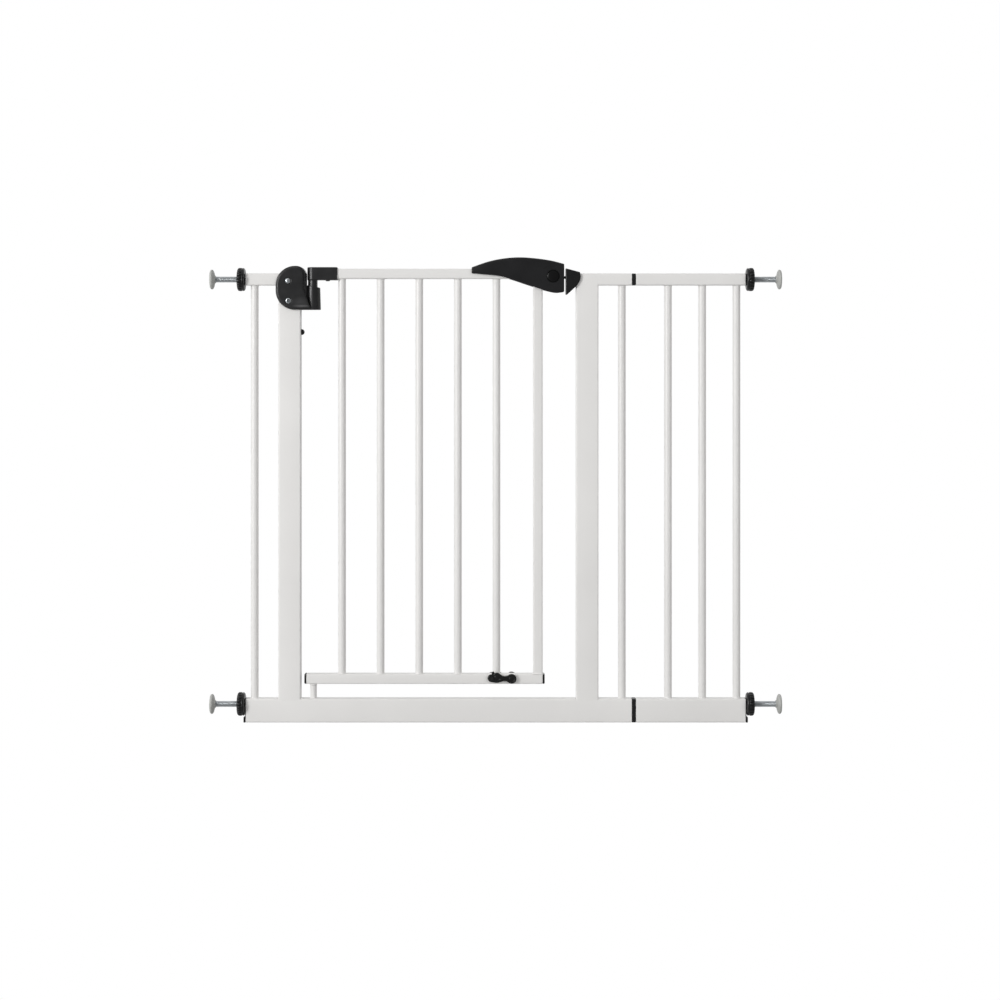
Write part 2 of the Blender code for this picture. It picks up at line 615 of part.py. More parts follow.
def handle_outline():
    """The handle's side view: a long crowned back, a straight end, a belly that sweeps to the tip."""
    spine = [(-0.0406, 0.7708), (-0.0128, 0.7803), (0.0122, 0.7855), (0.0384, 0.7876),
             (0.0646, 0.7862), (0.0937, 0.7821), (HANDLE_END, 0.7765)]
    belly = [(HANDLE_END, 0.7290), (0.1025, 0.7276), (0.0864, 0.7306), (0.0719, 0.7350),
             (0.0501, 0.7422), (0.0282, 0.7495), (0.0063, 0.7554), (-0.0228, 0.7585),
             (-0.0403, 0.7602)]
    return spine + belly


def inset(points, distance):
    """The outline moved inwards by a distance; the points run clockwise."""
    count = len(points)
    result = []
    for k, here in enumerate(points):
        before, after = Vector(points[k - 1]), Vector(points[(k + 1) % count])
        place = Vector(here)
        one = (place - before).normalized()
        two = (after - place).normalized()
        normal_one, normal_two = Vector((one.y, -one.x)), Vector((two.y, -two.x))
        middle = (normal_one + normal_two).normalized()
        result.append(tuple(place + middle * distance / max(0.3, middle.dot(normal_one))))
    return result


def handle_half(name, side, parent):
    """A cheek and half of the crown. The inside is open below and at the latch end."""
    outline = handle_outline()
    low, high = sorted((side * GAP / 2, side * HANDLE_DEPTH / 2))
    shell = add(name, push([outline], ALONG_Y, low, high), BLACK, parent)
    inner = inset(outline, SHELL_WALL)
    hollow = [(-0.0450, inner[0][1] - 0.0002)] + inner[1:6] + [(HANDLE_END + 0.005, inner[6][1])]
    hollow += [(HANDLE_END + 0.005, 0.70), (-0.0450, 0.70)]
    cheek = HANDLE_DEPTH / 2 - SHELL_WALL
    low, high = sorted((-side * 0.01, side * cheek))
    cut(shell, push([hollow], ALONG_Y, low, high))
    if side < 0:
        cut(shell, moved(rod(BUTTON_RADIUS + GAP, -0.03, 0.03, "Y", 24), x=HANDLE_PIVOT[0],
                         z=HANDLE_PIVOT[1]))


def button():
    """A domed plunger in the handle's round recess, with a flange behind the cheek. The profile's
    heights run towards the front."""
    rim = HANDLE_DEPTH / 2 - BUTTON_SINK
    cheek = HANDLE_DEPTH / 2 - SHELL_WALL - GAP
    back = cheek - BUTTON_FLANGE[1]
    profile = [(0, rim + BUTTON_CROWN), (BUTTON_RADIUS * 0.5, rim + BUTTON_CROWN * 0.81),
               (BUTTON_RADIUS * 0.85, rim + BUTTON_CROWN * 0.44), (BUTTON_RADIUS, rim),
               (BUTTON_RADIUS, cheek), (BUTTON_FLANGE[0], cheek), (BUTTON_FLANGE[0], back), (0, back)]
    shape = turned(profile, "Y", 24)
    shape.transform(Matrix.Rotation(math.pi, 4, "Z"))
    return shape


def latch_handle(door):
    """The two shells and the button."""
    handle = pivot("handle_axis", HANDLE_PIVOT[0], 0, HANDLE_PIVOT[1])
    handle_half("handle_front_shell", -1, handle)
    handle_half("handle_rear_shell", 1, handle)
    x, z = HANDLE_PIVOT
    add("lock_button", moved(button(), x=x, z=z), BLACK, handle)
    wire = 0.0008
    back = HANDLE_DEPTH / 2 - SHELL_WALL - GAP - BUTTON_FLANGE[1]
    coil("button_spring", (x, -back + wire, z), (x, -BODY_POCKET[1] - wire, z), 0.004, wire, 3, handle)
    return handle


# --- Striker ---------------------------------------------------------------------------------------
def striker():
    """A wedge that straddles the right post's inner edge, with a slot for the tongue."""
    face_x = RIGHT_POST_X - POST_WIDTH / 2
    outline = [(STRIKER_FACE, 0.7686), (STRIKER_FACE, 0.7252), (0.1206, 0.7240), (0.1225, 0.7248),
               (0.1380, 0.7399), (0.1438, 0.7520), (0.1438, 0.7560), (0.1426, 0.7622)]
    wedge = add("striker", push([outline], ALONG_Y, -STRIKER_HALF, STRIKER_HALF), BLACK)
    half = FRAME_DEPTH / 2 + GAP
    cut(wedge, block((face_x - GAP, -half, 0.70), (0.16, half, 0.80)))
    cut(wedge, block((0.11, -0.03, TONGUE_Z - BOLT_HALF_Z - 0.0018),
                     (STRIKER_SLOT, 0.03, TONGUE_Z + BOLT_HALF_Z + 0.0018)))


# --- Swing stops -----------------------------------------------------------------------------------
def stop_outline():
    """Three lobes in a row, the last one set apart by a neck."""
    first = (0.0, 0.0)
    second = (0.0089, 0.0008)
    third = (0.0339, -0.0010)
    points = arc(first, 0.0066, 60, 255, 9)
    points += arc(second, 0.0086, 250, 300, 3)
    points += [(0.0200, -0.0046)]
    points += arc(third, 0.0083, 215, 500, 12)
    points += [(0.0200, 0.0046)]
    points += arc(second, 0.0086, 50, 110, 3)
    return points


def swing_stops(door):
    """A tab on each side of the door's bottom rail, both on one pin."""
    x, z = STOP_PIVOT
    end = STOP_PLATE[1] + GAP
    profile = [(0, end + 0.0012), (0.0036, end + 0.0010), (0.0036, end), (STOP_PIN, end),
               (STOP_PIN, -end), (0.0036, -end), (0.0036, -end - 0.0010), (0, -end - 0.0012)]
    add("swing_stop_pin", moved(turned(profile, "Y", 16), x=x, z=z), BLACK, door)
    for side, name in ((-1, "swing_stop_front"), (1, "swing_stop_rear")):
        axis = pivot(f"{name}_axis", x, 0, z)
        low, high = sorted((side * STOP_PLATE[0], side * STOP_PLATE[1]))
        plate = add(name, moved(push([stop_outline()], ALONG_Y, low, high), x=x, z=z), BLACK, axis)
        low, high = sorted((side * (DOOR_RAIL / 2 + GAP), side * (STOP_PLATE[0] + 0.001)))
        join(plate, moved(rod(0.005, low, high, "Y", 16), x=x, z=z))
        cut(plate, moved(rod(STOP_PIN + GAP, -0.03, 0.03, "Y", 12), x=x, z=z))
        axis.parent = door
        axis.matrix_parent_inverse = door.matrix_world.inverted()


# --- Assembly --------------------------------------------------------------------------------------
def build():
    """The whole gate, closed, with the handle down and both swing stops up."""
    start()
    fixed_frame()
    extension_panel()
    pressure_mounts()
    upper_hinge()
    striker()
    door = pivot("door_axis", HINGE_X, 0, 0)
    lower_hinge(door)
    door_leaf(door)
    hinge_knuckle(door)
    bolt = pivot("bolt_axis", BOLT_TAIL_X, 0, TONGUE_Z)
    latch_inside(door, bolt)
    handle = latch_handle(door)
    swing_stops(door)
    for empty in (bolt, handle):
        empty.parent = door
        empty.matrix_parent_inverse = door.matrix_world.inverted()


build()
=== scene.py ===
import math

import bmesh
import bpy
from mathutils import Matrix, Vector, noise

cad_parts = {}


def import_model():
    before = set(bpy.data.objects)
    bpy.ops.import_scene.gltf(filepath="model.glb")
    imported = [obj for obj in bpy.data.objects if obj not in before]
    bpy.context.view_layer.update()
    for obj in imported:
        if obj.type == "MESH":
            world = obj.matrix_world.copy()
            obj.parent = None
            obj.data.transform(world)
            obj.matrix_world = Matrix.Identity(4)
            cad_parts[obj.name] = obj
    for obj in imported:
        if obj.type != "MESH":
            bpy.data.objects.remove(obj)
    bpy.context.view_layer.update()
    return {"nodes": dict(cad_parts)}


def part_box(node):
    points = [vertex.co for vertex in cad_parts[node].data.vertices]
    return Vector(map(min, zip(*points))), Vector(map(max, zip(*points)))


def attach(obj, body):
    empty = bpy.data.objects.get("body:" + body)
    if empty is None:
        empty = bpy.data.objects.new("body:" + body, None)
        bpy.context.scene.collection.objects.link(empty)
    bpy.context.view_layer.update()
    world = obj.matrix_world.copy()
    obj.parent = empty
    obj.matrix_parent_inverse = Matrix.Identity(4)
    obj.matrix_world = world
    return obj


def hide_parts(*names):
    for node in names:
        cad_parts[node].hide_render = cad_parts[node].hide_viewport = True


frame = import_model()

SCENE = bpy.context.scene
GAP = 0.0003                 # what the CAD solids leave between touching pieces
TUBE_CORNER = 0.0024         # outer corner radius of the rectangular tubes
PROUD = 0.0001               # how much wider a flush-ground tube is than its neighbour
SPINDLE_BORE = 0.0053        # radius of the holes that the spindles pass through
SCREW_RECESS, SCREW_HOLE = 0.0056, 0.0025      # radii in the hinge clamshell
CUT = 0.03                   # half the length of a cutter that goes right through
THREAD_PITCH = 0.0015
THREAD_DEPTH = 0.0005
SLEEVE_FOOT = 0.7488         # underside of the hinge knuckle's sleeve
NOTCH = ((-0.3027, -0.2900), 0.7338)    # the knuckle's step: from and to along x, and its floor
BOSS_X = -0.2848             # the small boss under the sleeve
HINGE_PLATE_EDGE = -0.3210   # the clamshell's right edge
HINGE_FOOT_EDGE = -0.3195    # the same below the cup's rim
HINGE_CUP_TOP = 0.7370
HINGE_WELL = (0.0098, 0.7007)           # the cup's bore: radius and floor


# --- Meshes ---------------------------------------------------------------------------------------
def place(axis, u, v, w):
    """A point of a section (u, v) at w along the axis, in world axes."""
    if axis == "X":
        return Vector((w, u, v))
    if axis == "Y":
        return Vector((u, w, v))
    return Vector((u, v, w))


def finished(mesh, angle=38):
    """The bmesh as a mesh with its faces outwards, smooth but for its sharp edges."""
    bmesh.ops.recalc_face_normals(mesh, faces=mesh.faces)
    data = bpy.data.meshes.new("piece")
    mesh.to_mesh(data)
    mesh.free()
    data.shade_smooth()
    data.set_sharp_from_angle(angle=math.radians(angle))
    return data


def loft(rings, closed=False, angle=38):
    """A closed skin through rings of equal count. An open row of rings is capped at both ends."""
    mesh = bmesh.new()
    rows = [[mesh.verts.new(point) for point in ring] for ring in rings]
    count = len(rows[0])
    pairs = list(zip(rows, rows[1:]))
    if closed:
        pairs.append((rows[-1], rows[0]))
    else:
        mesh.faces.new(rows[0])
        mesh.faces.new(rows[-1])
    for one, two in pairs:
        for k in range(count):
            nxt = (k + 1) % count
            mesh.faces.new((one[k], one[nxt], two[nxt], two[k]))
    return finished(mesh, angle)


def rounded_rect(width, height, radius, steps=6):
    """A function of an inset that gives the outline of a rounded rectangle."""
    def outline(inset=0.0):
        half_u, half_v = width / 2 - inset, height / 2 - inset
        corner = max(radius - inset, 0.0002)
        points = []
        for quarter, (su, sv) in enumerate(((1, 1), (-1, 1), (-1, -1), (1, -1))):
            for k in range(steps + 1):
                turn = math.pi / 2 * (quarter + k / steps)
                points.append((su * (half_u - corner) + corner * math.cos(turn),
                               sv * (half_v - corner) + corner * math.sin(turn)))
        return points
    return outline


def circle(radius, count=48):
    """A function of an inset that gives the outline of a circle."""
    def outline(inset=0.0):
        return [((radius - inset) * math.cos(2 * math.pi * k / count),
                 (radius - inset) * math.sin(2 * math.pi * k / count)) for k in range(count)]
    return outline


def ring(outline, inset, axis, centre, w):
    """The outline, inset, about a centre at w along the axis."""
    return [place(axis, centre[0] + u, centre[1] + v, w) for u, v in outline(inset)]


def hollow_bar(outline, axis, centre, low, high, wall=0.0012, edge=0.0005, lid=False):
    """A tube with eased ends; a lid closes it at the high end."""
    if not lid:
        steps = [(edge, low), (0, low + edge), (0, high - edge), (edge, high), (wall, high),
                 (wall, low)]
        return loft([ring(outline, i, axis, centre, w) for i, w in steps], closed=True)
    round_top = 0.0012
    steps = [(wall, high - 0.0016), (wall, low), (edge, low), (0, low + edge),
             (0, high - round_top)]
    for k in range(1, 5):
        turn = math.pi / 2 * k / 4
        steps.append((round_top * (1 - math.cos(turn)), high - round_top * (1 - math.sin(turn))))
    return loft([ring(outline, i, axis, centre, w) for i, w in steps])


def lathe(profile, axis, centre, count=48, shape=None):
    """A turned solid: (radius, w) points that start and end on the axis, or that close on
    themselves round a bore. shape(angle, radius, w) may change the radius."""
    mesh = bmesh.new()
    rows = []
    for radius, w in profile:
        if radius < 1e-7:
            rows.append([mesh.verts.new(place(axis, centre[0], centre[1], w))])
            continue
        row = []
        for k in range(count):
            turn = 2 * math.pi * k / count
            r = shape(turn, radius, w) if shape else radius
            row.append(mesh.verts.new(place(axis, centre[0] + r * math.cos(turn),
                                            centre[1] + r * math.sin(turn), w)))
        rows.append(row)
    pairs = list(zip(rows, rows[1:]))
    if len(rows[0]) > 1:
        pairs.append((rows[-1], rows[0]))
    for one, two in pairs:
        for k in range(count):
            nxt = (k + 1) % count
            corners = list(dict.fromkeys((one[k % len(one)], one[nxt % len(one)],
                                          two[nxt % len(two)], two[k % len(two)])))
            if len(corners) > 2:
                mesh.faces.new(corners)
    return finished(mesh)


def rod(radius, start, end, axis, centre, count):
    """A plain cylinder from start to end along the axis."""
    return lathe([(0, start), (radius, start), (radius, end), (0, end)], axis, centre, count)


def plate(outlines, axis, low, high, edge=0.0):
    """A flat outline pushed from low to high along the axis, with its edges rounded."""
    curve = bpy.data.curves.new("outline", "CURVE")
    curve.dimensions = "2D"
    curve.fill_mode = "BOTH"
    curve.extrude = (high - low) / 2 - edge
    curve.bevel_depth = edge
    curve.bevel_resolution = 3
    curve.offset = -edge
    for points in outlines:
        spline = curve.splines.new("POLY")
        spline.points.add(len(points) - 1)
        for point, (u, v) in zip(spline.points, points):
            point.co = (u, v, 0, 1)
        spline.use_cyclic_u = True
    guide = bpy.data.objects.new("outline", curve)
    SCENE.collection.objects.link(guide)
    bpy.context.view_layer.update()
    graph = bpy.context.evaluated_depsgraph_get()
    data = bpy.data.meshes.new_from_object(guide.evaluated_get(graph))
    bpy.data.objects.remove(guide)
    middle = (low + high) / 2
    mesh = bmesh.new()
    mesh.from_mesh(data)
    for vert in mesh.verts:
        vert.co = place(axis, vert.co.x, vert.co.y, vert.co.z + middle)
    bmesh.ops.remove_doubles(mesh, verts=mesh.verts, dist=1e-6)
    return finished(mesh)


def brick(low, high, edge=0.0008, segments=3):
    """A box between two corners with rounded edges."""
    mesh = bmesh.new()
    bmesh.ops.create_cube(mesh, size=1.0)
    for vert in mesh.verts:
        vert.co = [low[k] + (vert.co[k] + 0.5) * (high[k] - low[k]) for k in range(3)]
    bmesh.ops.bevel(mesh, geom=mesh.edges[:], offset=edge, segments=segments, profile=0.5,
                    affect="EDGES", clamp_overlap=True)
    return finished(mesh)


def merged(meshes):
    """Several meshes as one."""
    mesh = bmesh.new()
    for data in meshes:
        mesh.from_mesh(data)
    return finished(mesh)


def evaluated(data, build):
    """The mesh after the modifiers that build(object) adds."""
    obj = bpy.data.objects.new("work", data)
    SCENE.collection.objects.link(obj)
    tools = build(obj)
    bpy.context.view_layer.update()
    graph = bpy.context.evaluated_depsgraph_get()
    result = bpy.data.meshes.new_from_object(obj.evaluated_get(graph))
    for used in [obj, *tools]:
        bpy.data.objects.remove(used)
    return result


def boolean(data, tools, operation="DIFFERENCE"):
    """The mesh cut by, or joined with, each tool in turn."""
    def build(obj):
        used = []
        for shape in tools:
            tool = bpy.data.objects.new("tool", shape)
            SCENE.collection.objects.link(tool)
            step = obj.modifiers.new("cut", "BOOLEAN")
            step.operation = operation
            step.object = tool
            used.append(tool)
        return used
    return evaluated(data, build)


def moulded(solids, cutters=(), voxel=0.00045, melt=6, keep=0.45):
    """Solids joined and cut, with every edge melted round as in a moulding."""
    data = solids[0]
    if len(solids) > 1:
        data = boolean(data, solids[1:], "UNION")
    if cutters:
        data = boolean(data, cutters)

    def build(obj):
        remesh = obj.modifiers.new("remesh", "REMESH")
        remesh.mode = "VOXEL"
        remesh.voxel_size = voxel
        smooth = obj.modifiers.new("smooth", "SMOOTH")
        smooth.factor = 0.5
        smooth.iterations = melt
        thin = obj.modifiers.new("thin", "DECIMATE")
        thin.ratio = keep
        return []
    data = evaluated(data, build)
    data.shade_smooth()
    return data


def eased(data, angle=50):
    """The mesh, smooth but for edges sharper than the angle."""
    data.shade_smooth()
    data.set_sharp_from_angle(angle=math.radians(angle))
    return data


def arc(centre, radius, start, end, steps):
    """Points along an arc, in degrees, both ends included."""
    turns = [math.radians(start + (end - start) * k / steps) for k in range(steps + 1)]
    return [(centre[0] + radius * math.cos(t), centre[1] + radius * math.sin(t)) for t in turns]


def through(points, x):
    """The height at x of a smooth curve through points in order of x."""
    k = next((i for i in range(len(points) - 1) if x <= points[i + 1][0]), len(points) - 2)
    (x1, y1), (x2, y2) = points[k], points[k + 1]
    x0, y0 = points[k - 1] if k else (2 * x1 - x2, 2 * y1 - y2)
    x3, y3 = points[k + 2] if k + 2 < len(points) else (2 * x2 - x1, 2 * y2 - y1)
    span = x2 - x1
    slope1, slope2 = (y2 - y0) / (x2 - x0) * span, (y3 - y1) / (x3 - x1) * span
    t = (x - x1) / span
    return (y1 * (2 * t ** 3 - 3 * t ** 2 + 1) + slope1 * (t ** 3 - 2 * t ** 2 + t)
            + y2 * (3 * t ** 2 - 2 * t ** 3) + slope2 * (t ** 3 - t ** 2))


# --- Materials ------------------------------------------------------------------------------------
class Tree:
    """A material's nodes, with short calls to add and join them."""

    def __init__(self, name):
        self.material = bpy.data.materials.new(name)
        self.material.use_nodes = True
        self.nodes = self.material.node_tree.nodes
        self.links = self.material.node_tree.links
        self.shader = self.nodes["Principled BSDF"]
        self.coords = self.nodes.new("ShaderNodeTexCoord").outputs["Object"]

    def set(self, **values):
        for name, value in values.items():
            self.shader.inputs[name.replace("_", " ")].default_value = value

    def wire(self, output, socket):
        self.links.new(output, socket)

    def noise(self, scale, detail=2.0, stretch=None):
        node = self.nodes.new("ShaderNodeTexNoise")
        node.inputs["Scale"].default_value = scale
        node.inputs["Detail"].default_value = detail
        source = self.coords
        if stretch:
            mapping = self.nodes.new("ShaderNodeMapping")
            mapping.inputs["Scale"].default_value = stretch
            self.wire(self.coords, mapping.inputs["Vector"])
            source = mapping.outputs["Vector"]
        self.wire(source, node.inputs["Vector"])
        return node.outputs["Fac"]

    def cells(self, scale, output="Distance"):
        node = self.nodes.new("ShaderNodeTexVoronoi")
        node.inputs["Scale"].default_value = scale
        self.wire(self.coords, node.inputs["Vector"])
        return node.outputs[output]

    def spread(self, value, low, high, start=0.3, end=0.7):
        """The value between start and end, mapped to low and high."""
        node = self.nodes.new("ShaderNodeMapRange")
        for name, number in (("From Min", start), ("From Max", end),
                             ("To Min", low), ("To Max", high)):
            node.inputs[name].default_value = number
        self.wire(value, node.inputs["Value"])
        return node.outputs["Result"]

    def ramp(self, value, stops):
        """Colours at places along the value."""
        node = self.nodes.new("ShaderNodeValToRGB")
        elements = node.color_ramp.elements
        elements[0].position, elements[0].color = stops[0][0], (*stops[0][1], 1)
        elements[1].position, elements[1].color = stops[-1][0], (*stops[-1][1], 1)
        for place_at, colour in stops[1:-1]:
            elements.new(place_at).color = (*colour, 1)
        self.wire(value, node.inputs["Fac"])
        return node.outputs["Color"]

    def mix(self, factor, one, two):
        node = self.nodes.new("ShaderNodeMix")
        node.data_type = "RGBA"
        for name, value in (("Factor", factor), (6, one), (7, two)):
            socket = node.inputs[name]
            if isinstance(value, bpy.types.NodeSocket):
                self.wire(value, socket)
            elif isinstance(value, tuple):
                socket.default_value = (*value, 1)
            else:
                socket.default_value = value
        return node.outputs[2]

    def bump(self, height, strength, distance, below=None):
        node = self.nodes.new("ShaderNodeBump")
        node.inputs["Strength"].default_value = strength
        node.inputs["Distance"].default_value = distance
        self.wire(height, node.inputs["Height"])
        if below:
            self.wire(below, node.inputs["Normal"])
        return node.outputs["Normal"]

    def edges(self):
        """How convex the surface is: 0.5 on a flat, more on an edge."""
        return self.nodes.new("ShaderNodeNewGeometry").outputs["Pointiness"]


def powder_coat(name="white_powder_coat", tint=(0.80, 0.79, 0.775)):
    """Baked white powder: a faint orange peel, a fine grain, a slow drift of tone."""
    tree = Tree(name)
    deep = tuple(c * 0.955 for c in tint)
    tone = tree.ramp(tree.noise(7.0, 3.0), [(0.32, deep), (0.68, tint)])
    specks = tree.spread(tree.cells(420.0), 0.0, 1.0, 0.02, 0.10)
    colour = tree.mix(specks, tuple(c * 0.90 for c in tint), tone)
    tree.wire(colour, tree.shader.inputs["Base Color"])
    tree.wire(tree.spread(tree.noise(38.0, 3.0), 0.30, 0.40), tree.shader.inputs["Roughness"])
    peel = tree.bump(tree.noise(330.0, 1.0), 0.30, 0.00012)
    grain = tree.bump(tree.noise(1900.0, 2.0), 0.22, 0.00004, peel)
    tree.wire(grain, tree.shader.inputs["Normal"])
    tree.set(Specular_IOR_Level=0.42, Coat_Weight=0.12, Coat_Roughness=0.22)
    return tree.material


def black_plastic(name, colour, rough, grain, gloss, painted_highlights=()):
    """Moulded black: spark-eroded grain, uneven sheen, edges that have rubbed a little lighter.
    The listed patches are painted highlights and painted reflections, made pale: a centre, half
    sizes along x and z, and how pale."""
    tree = Tree(name)
    lighter = tuple(c * 1.35 + 0.002 for c in colour)
    tone = tree.ramp(tree.noise(26.0, 4.0), [(0.35, colour), (0.75, lighter)])
    worn = tree.spread(tree.edges(), 0.0, 0.5, 0.53, 0.62)
    tone = tree.mix(worn, tone, tuple(c * 2.2 + 0.01 for c in colour))
    # Painted highlights: each patch mixes a pale grey into the colour, a highlight or reflection
    # painted on, not wear.
    for (x, z), (half_x, half_z), pale in painted_highlights:
        patch = tree.nodes.new("ShaderNodeMapping")
        patch.vector_type = "TEXTURE"
        patch.inputs["Location"].default_value = (x, 0.0, z)
        patch.inputs["Scale"].default_value = (half_x, 1.0, half_z)
        tree.wire(tree.coords, patch.inputs["Vector"])
        away = tree.nodes.new("ShaderNodeVectorMath")
        away.operation = "LENGTH"
        tree.wire(patch.outputs["Vector"], away.inputs[0])
        highlight_mask = tree.spread(away.outputs["Value"], pale, 0.0, 0.15, 1.0)
        tone = tree.mix(highlight_mask, tone, (0.11, 0.11, 0.112))
    dust = tree.spread(tree.noise(950.0, 2.0), 0.0, 0.10, 0.60, 0.80)
    tone = tree.mix(dust, tone, (0.07, 0.07, 0.07))
    tree.wire(tone, tree.shader.inputs["Base Color"])
    tree.wire(tree.spread(tree.noise(60.0, 3.0), rough - 0.05, rough + 0.07),
              tree.shader.inputs["Roughness"])
    pits = tree.bump(tree.cells(2300.0), grain, 0.00006)
    fine = tree.bump(tree.noise(5200.0, 1.0), grain * 0.6, 0.00003, pits)
    tree.wire(fine, tree.shader.inputs["Normal"])
    tree.set(Specular_IOR_Level=gloss)
    return tree.material


def zinc_plate(name="zinc_plate"):
    """Blue-white zinc: a metal with a cloudy polish and fine lines left by the die."""
    tree = Tree(name)
    tone = tree.ramp(tree.noise(120.0, 3.0),
                     [(0.30, (0.50, 0.53, 0.55)), (0.70, (0.64, 0.665, 0.68))])
    spangle = tree.spread(tree.cells(700.0, "Color"), 0.0, 0.22, 0.2, 0.9)
    tree.wire(tree.mix(spangle, tone, (0.44, 0.475, 0.50)), tree.shader.inputs["Base Color"])
    tree.wire(tree.spread(tree.noise(200.0, 2.0), 0.28, 0.42), tree.shader.inputs["Roughness"])
    lines = tree.bump(tree.noise(40.0, 3.0, stretch=(60.0, 2.0, 2.0)), 0.25, 0.00005)
    tree.wire(lines, tree.shader.inputs["Normal"])
    tree.set(Metallic=1.0)
    return tree.material


def grey_rubber(name="grey_rubber"):
    """Soft light-grey thermoplastic rubber with a satin, slightly soiled skin."""
    tree = Tree(name)
    tone = tree.ramp(tree.noise(45.0, 4.0),
                     [(0.3, (0.40, 0.405, 0.385)), (0.7, (0.49, 0.494, 0.474))])
    soil = tree.spread(tree.noise(210.0, 3.0), 0.0, 0.4, 0.55, 0.8)
    tree.wire(tree.mix(soil, tone, (0.31, 0.31, 0.29)), tree.shader.inputs["Base Color"])
    tree.wire(tree.spread(tree.noise(90.0, 2.0), 0.50, 0.66), tree.shader.inputs["Roughness"])
    tree.wire(tree.bump(tree.noise(1500.0, 3.0), 0.35, 0.00006), tree.shader.inputs["Normal"])
    tree.set(Specular_IOR_Level=0.35, Sheen_Weight=0.08)
    return tree.material


WHITE = powder_coat()
HANDLE_BLACK = black_plastic("handle_black", (0.0078, 0.0078, 0.0085), 0.46, 0.38, 0.24)
# hinge_black's three patches are painted highlights: the floor's reflection along the panel's lower
# edge, a soft glow on the plate's lower part, and the key lamp's reflection down the cup's left
# side.
HINGE_BLACK = black_plastic("hinge_black", (0.0090, 0.0090, 0.0096), 0.33, 0.18, 0.50,
                            [((-0.3275, 0.7047), (0.0175, 0.0027), 0.75),
                             ((-0.3290, 0.7120), (0.0150, 0.0100), 0.22),
                             ((-0.3160, 0.7270), (0.0045, 0.0130), 0.30)])
FITTING_BLACK = black_plastic("fitting_black", (0.0034, 0.0034, 0.0037), 0.27, 0.16, 0.42)
BUTTON_BLACK = black_plastic("button_black", (0.0006, 0.0006, 0.0007), 0.22, 0.06, 0.30)
ZINC = zinc_plate()
GREY = grey_rubber()


def piece(name, data, material, body, *nodes):
    """A named piece that rides on a body and stands for CAD nodes."""
    obj = bpy.data.objects.new(name, data)
    SCENE.collection.objects.link(obj)
    data.materials.clear()
    data.materials.append(material)
    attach(obj, body)
    if nodes:
        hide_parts(*nodes)
    return obj


# --- White tubes ----------------------------------------------------------------------------------
def middle(node):
    """A CAD node's centre."""
    low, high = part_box(node)
    return (low + high) / 2


def flat_tube(node, axis, body, lid=False, into=(0.0, 0.0)):
    """A rectangular tube on a CAD node's box. into carries an end on over its neighbour's rounded
    edge, where the weld is ground flush."""
    low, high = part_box(node)
    size, centre = high - low, (high + low) / 2
    edge = 0.0001 if any(into) else 0.0005
    if any(into):
        size += Vector((PROUD, PROUD, PROUD))
    if axis == "X":
        outline = rounded_rect(size.y, size.z, TUBE_CORNER)
        data = hollow_bar(outline, "X", (centre.y, centre.z), low.x - into[0], high.x + into[1],
                          edge=edge)
    else:
        outline = rounded_rect(size.x, size.y, TUBE_CORNER)
        data = hollow_bar(outline, "Z", (centre.x, centre.y), low.z - into[0], high.z + into[1],
                          edge=edge, lid=lid)
    return piece(f"{node}_coated", data, WHITE, body, node)


def round_tube(node, body):
    """An upright round bar on a CAD node's box."""
    low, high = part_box(node)
    centre = (low + high) / 2
    data = hollow_bar(circle((high.x - low.x) / 2), "Z", (centre.x, centre.y), low.z, high.z, 0.001)
    return piece(f"{node}_coated", data, WHITE, body, node)


def weld(outline, axis, centre, w, direction, size=0.0017, seed=0.0):
    """A fillet bead round an outline where it meets the face at w, rippled as a weld is under
    paint."""
    sunk = -0.0004
    section = [(sunk, sunk), (sunk, size * 1.15), (0.0, size), (size * 0.16, size * 0.46),
               (size * 0.46, size * 0.16), (size, 0.0), (size * 1.15, sunk)]
    rings = []
    for out, up in section:
        row = []
        flat = outline(0.0)
        pushed = outline(-out)
        for k, ((u, v), (pu, pv)) in enumerate(zip(flat, pushed)):
            ripple = 1.0 + 0.13 * noise.noise(Vector((u * 900, v * 900, seed + w * 50)))
            ripple += 0.05 * math.sin(k * 1.9 + seed)
            row.append(place(axis, centre[0] + u + (pu - u) * ripple,
                             centre[1] + v + (pv - v) * ripple, w + direction * up * ripple))
        rings.append(row)
    return loft(rings, closed=True, angle=60)


def bar_welds(nodes):
    """Beads at both ends of upright bars."""
    beads = []
    for seed, node in enumerate(nodes):
        low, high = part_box(node)
        centre = (low + high) / 2
        width = high.x - low.x
        square = "upright" in node
        outline = rounded_rect(width, high.y - low.y, TUBE_CORNER) if square else circle(width / 2)
        beads.append(weld(outline, "Z", (centre.x, centre.y), low.z - GAP, 1, seed=seed))
        beads.append(weld(outline, "Z", (centre.x, centre.y), high.z + GAP, -1, seed=seed + 0.5))
    return beads


def white_frame():
    """The fixed frame's tubes and their welds."""
    flush = TUBE_CORNER + GAP
    for node, into in (("bottom_rail", (0, 0)), ("left_top_rail", (0, flush)),
                       ("right_top_rail", (flush, 0)), ("extension_bottom_rail", (0, 0)),
                       ("extension_top_rail", (0, 0))):
        flat_tube(node, "X", "frame", into=into)
    for node in ("left_post", "right_post"):
        flat_tube(node, "Z", "frame", lid=True, into=(flush, 0))
    bars = ["left_bar", "right_bar"]
    panel = [f"extension_bar_{k}" for k in (1, 2, 3)]
    for node in bars + panel:
        round_tube(node, "frame")
    piece("frame_welds", merged(bar_welds(bars)), WHITE, "frame")
    piece("extension_welds", merged(bar_welds(panel)), WHITE, "frame")


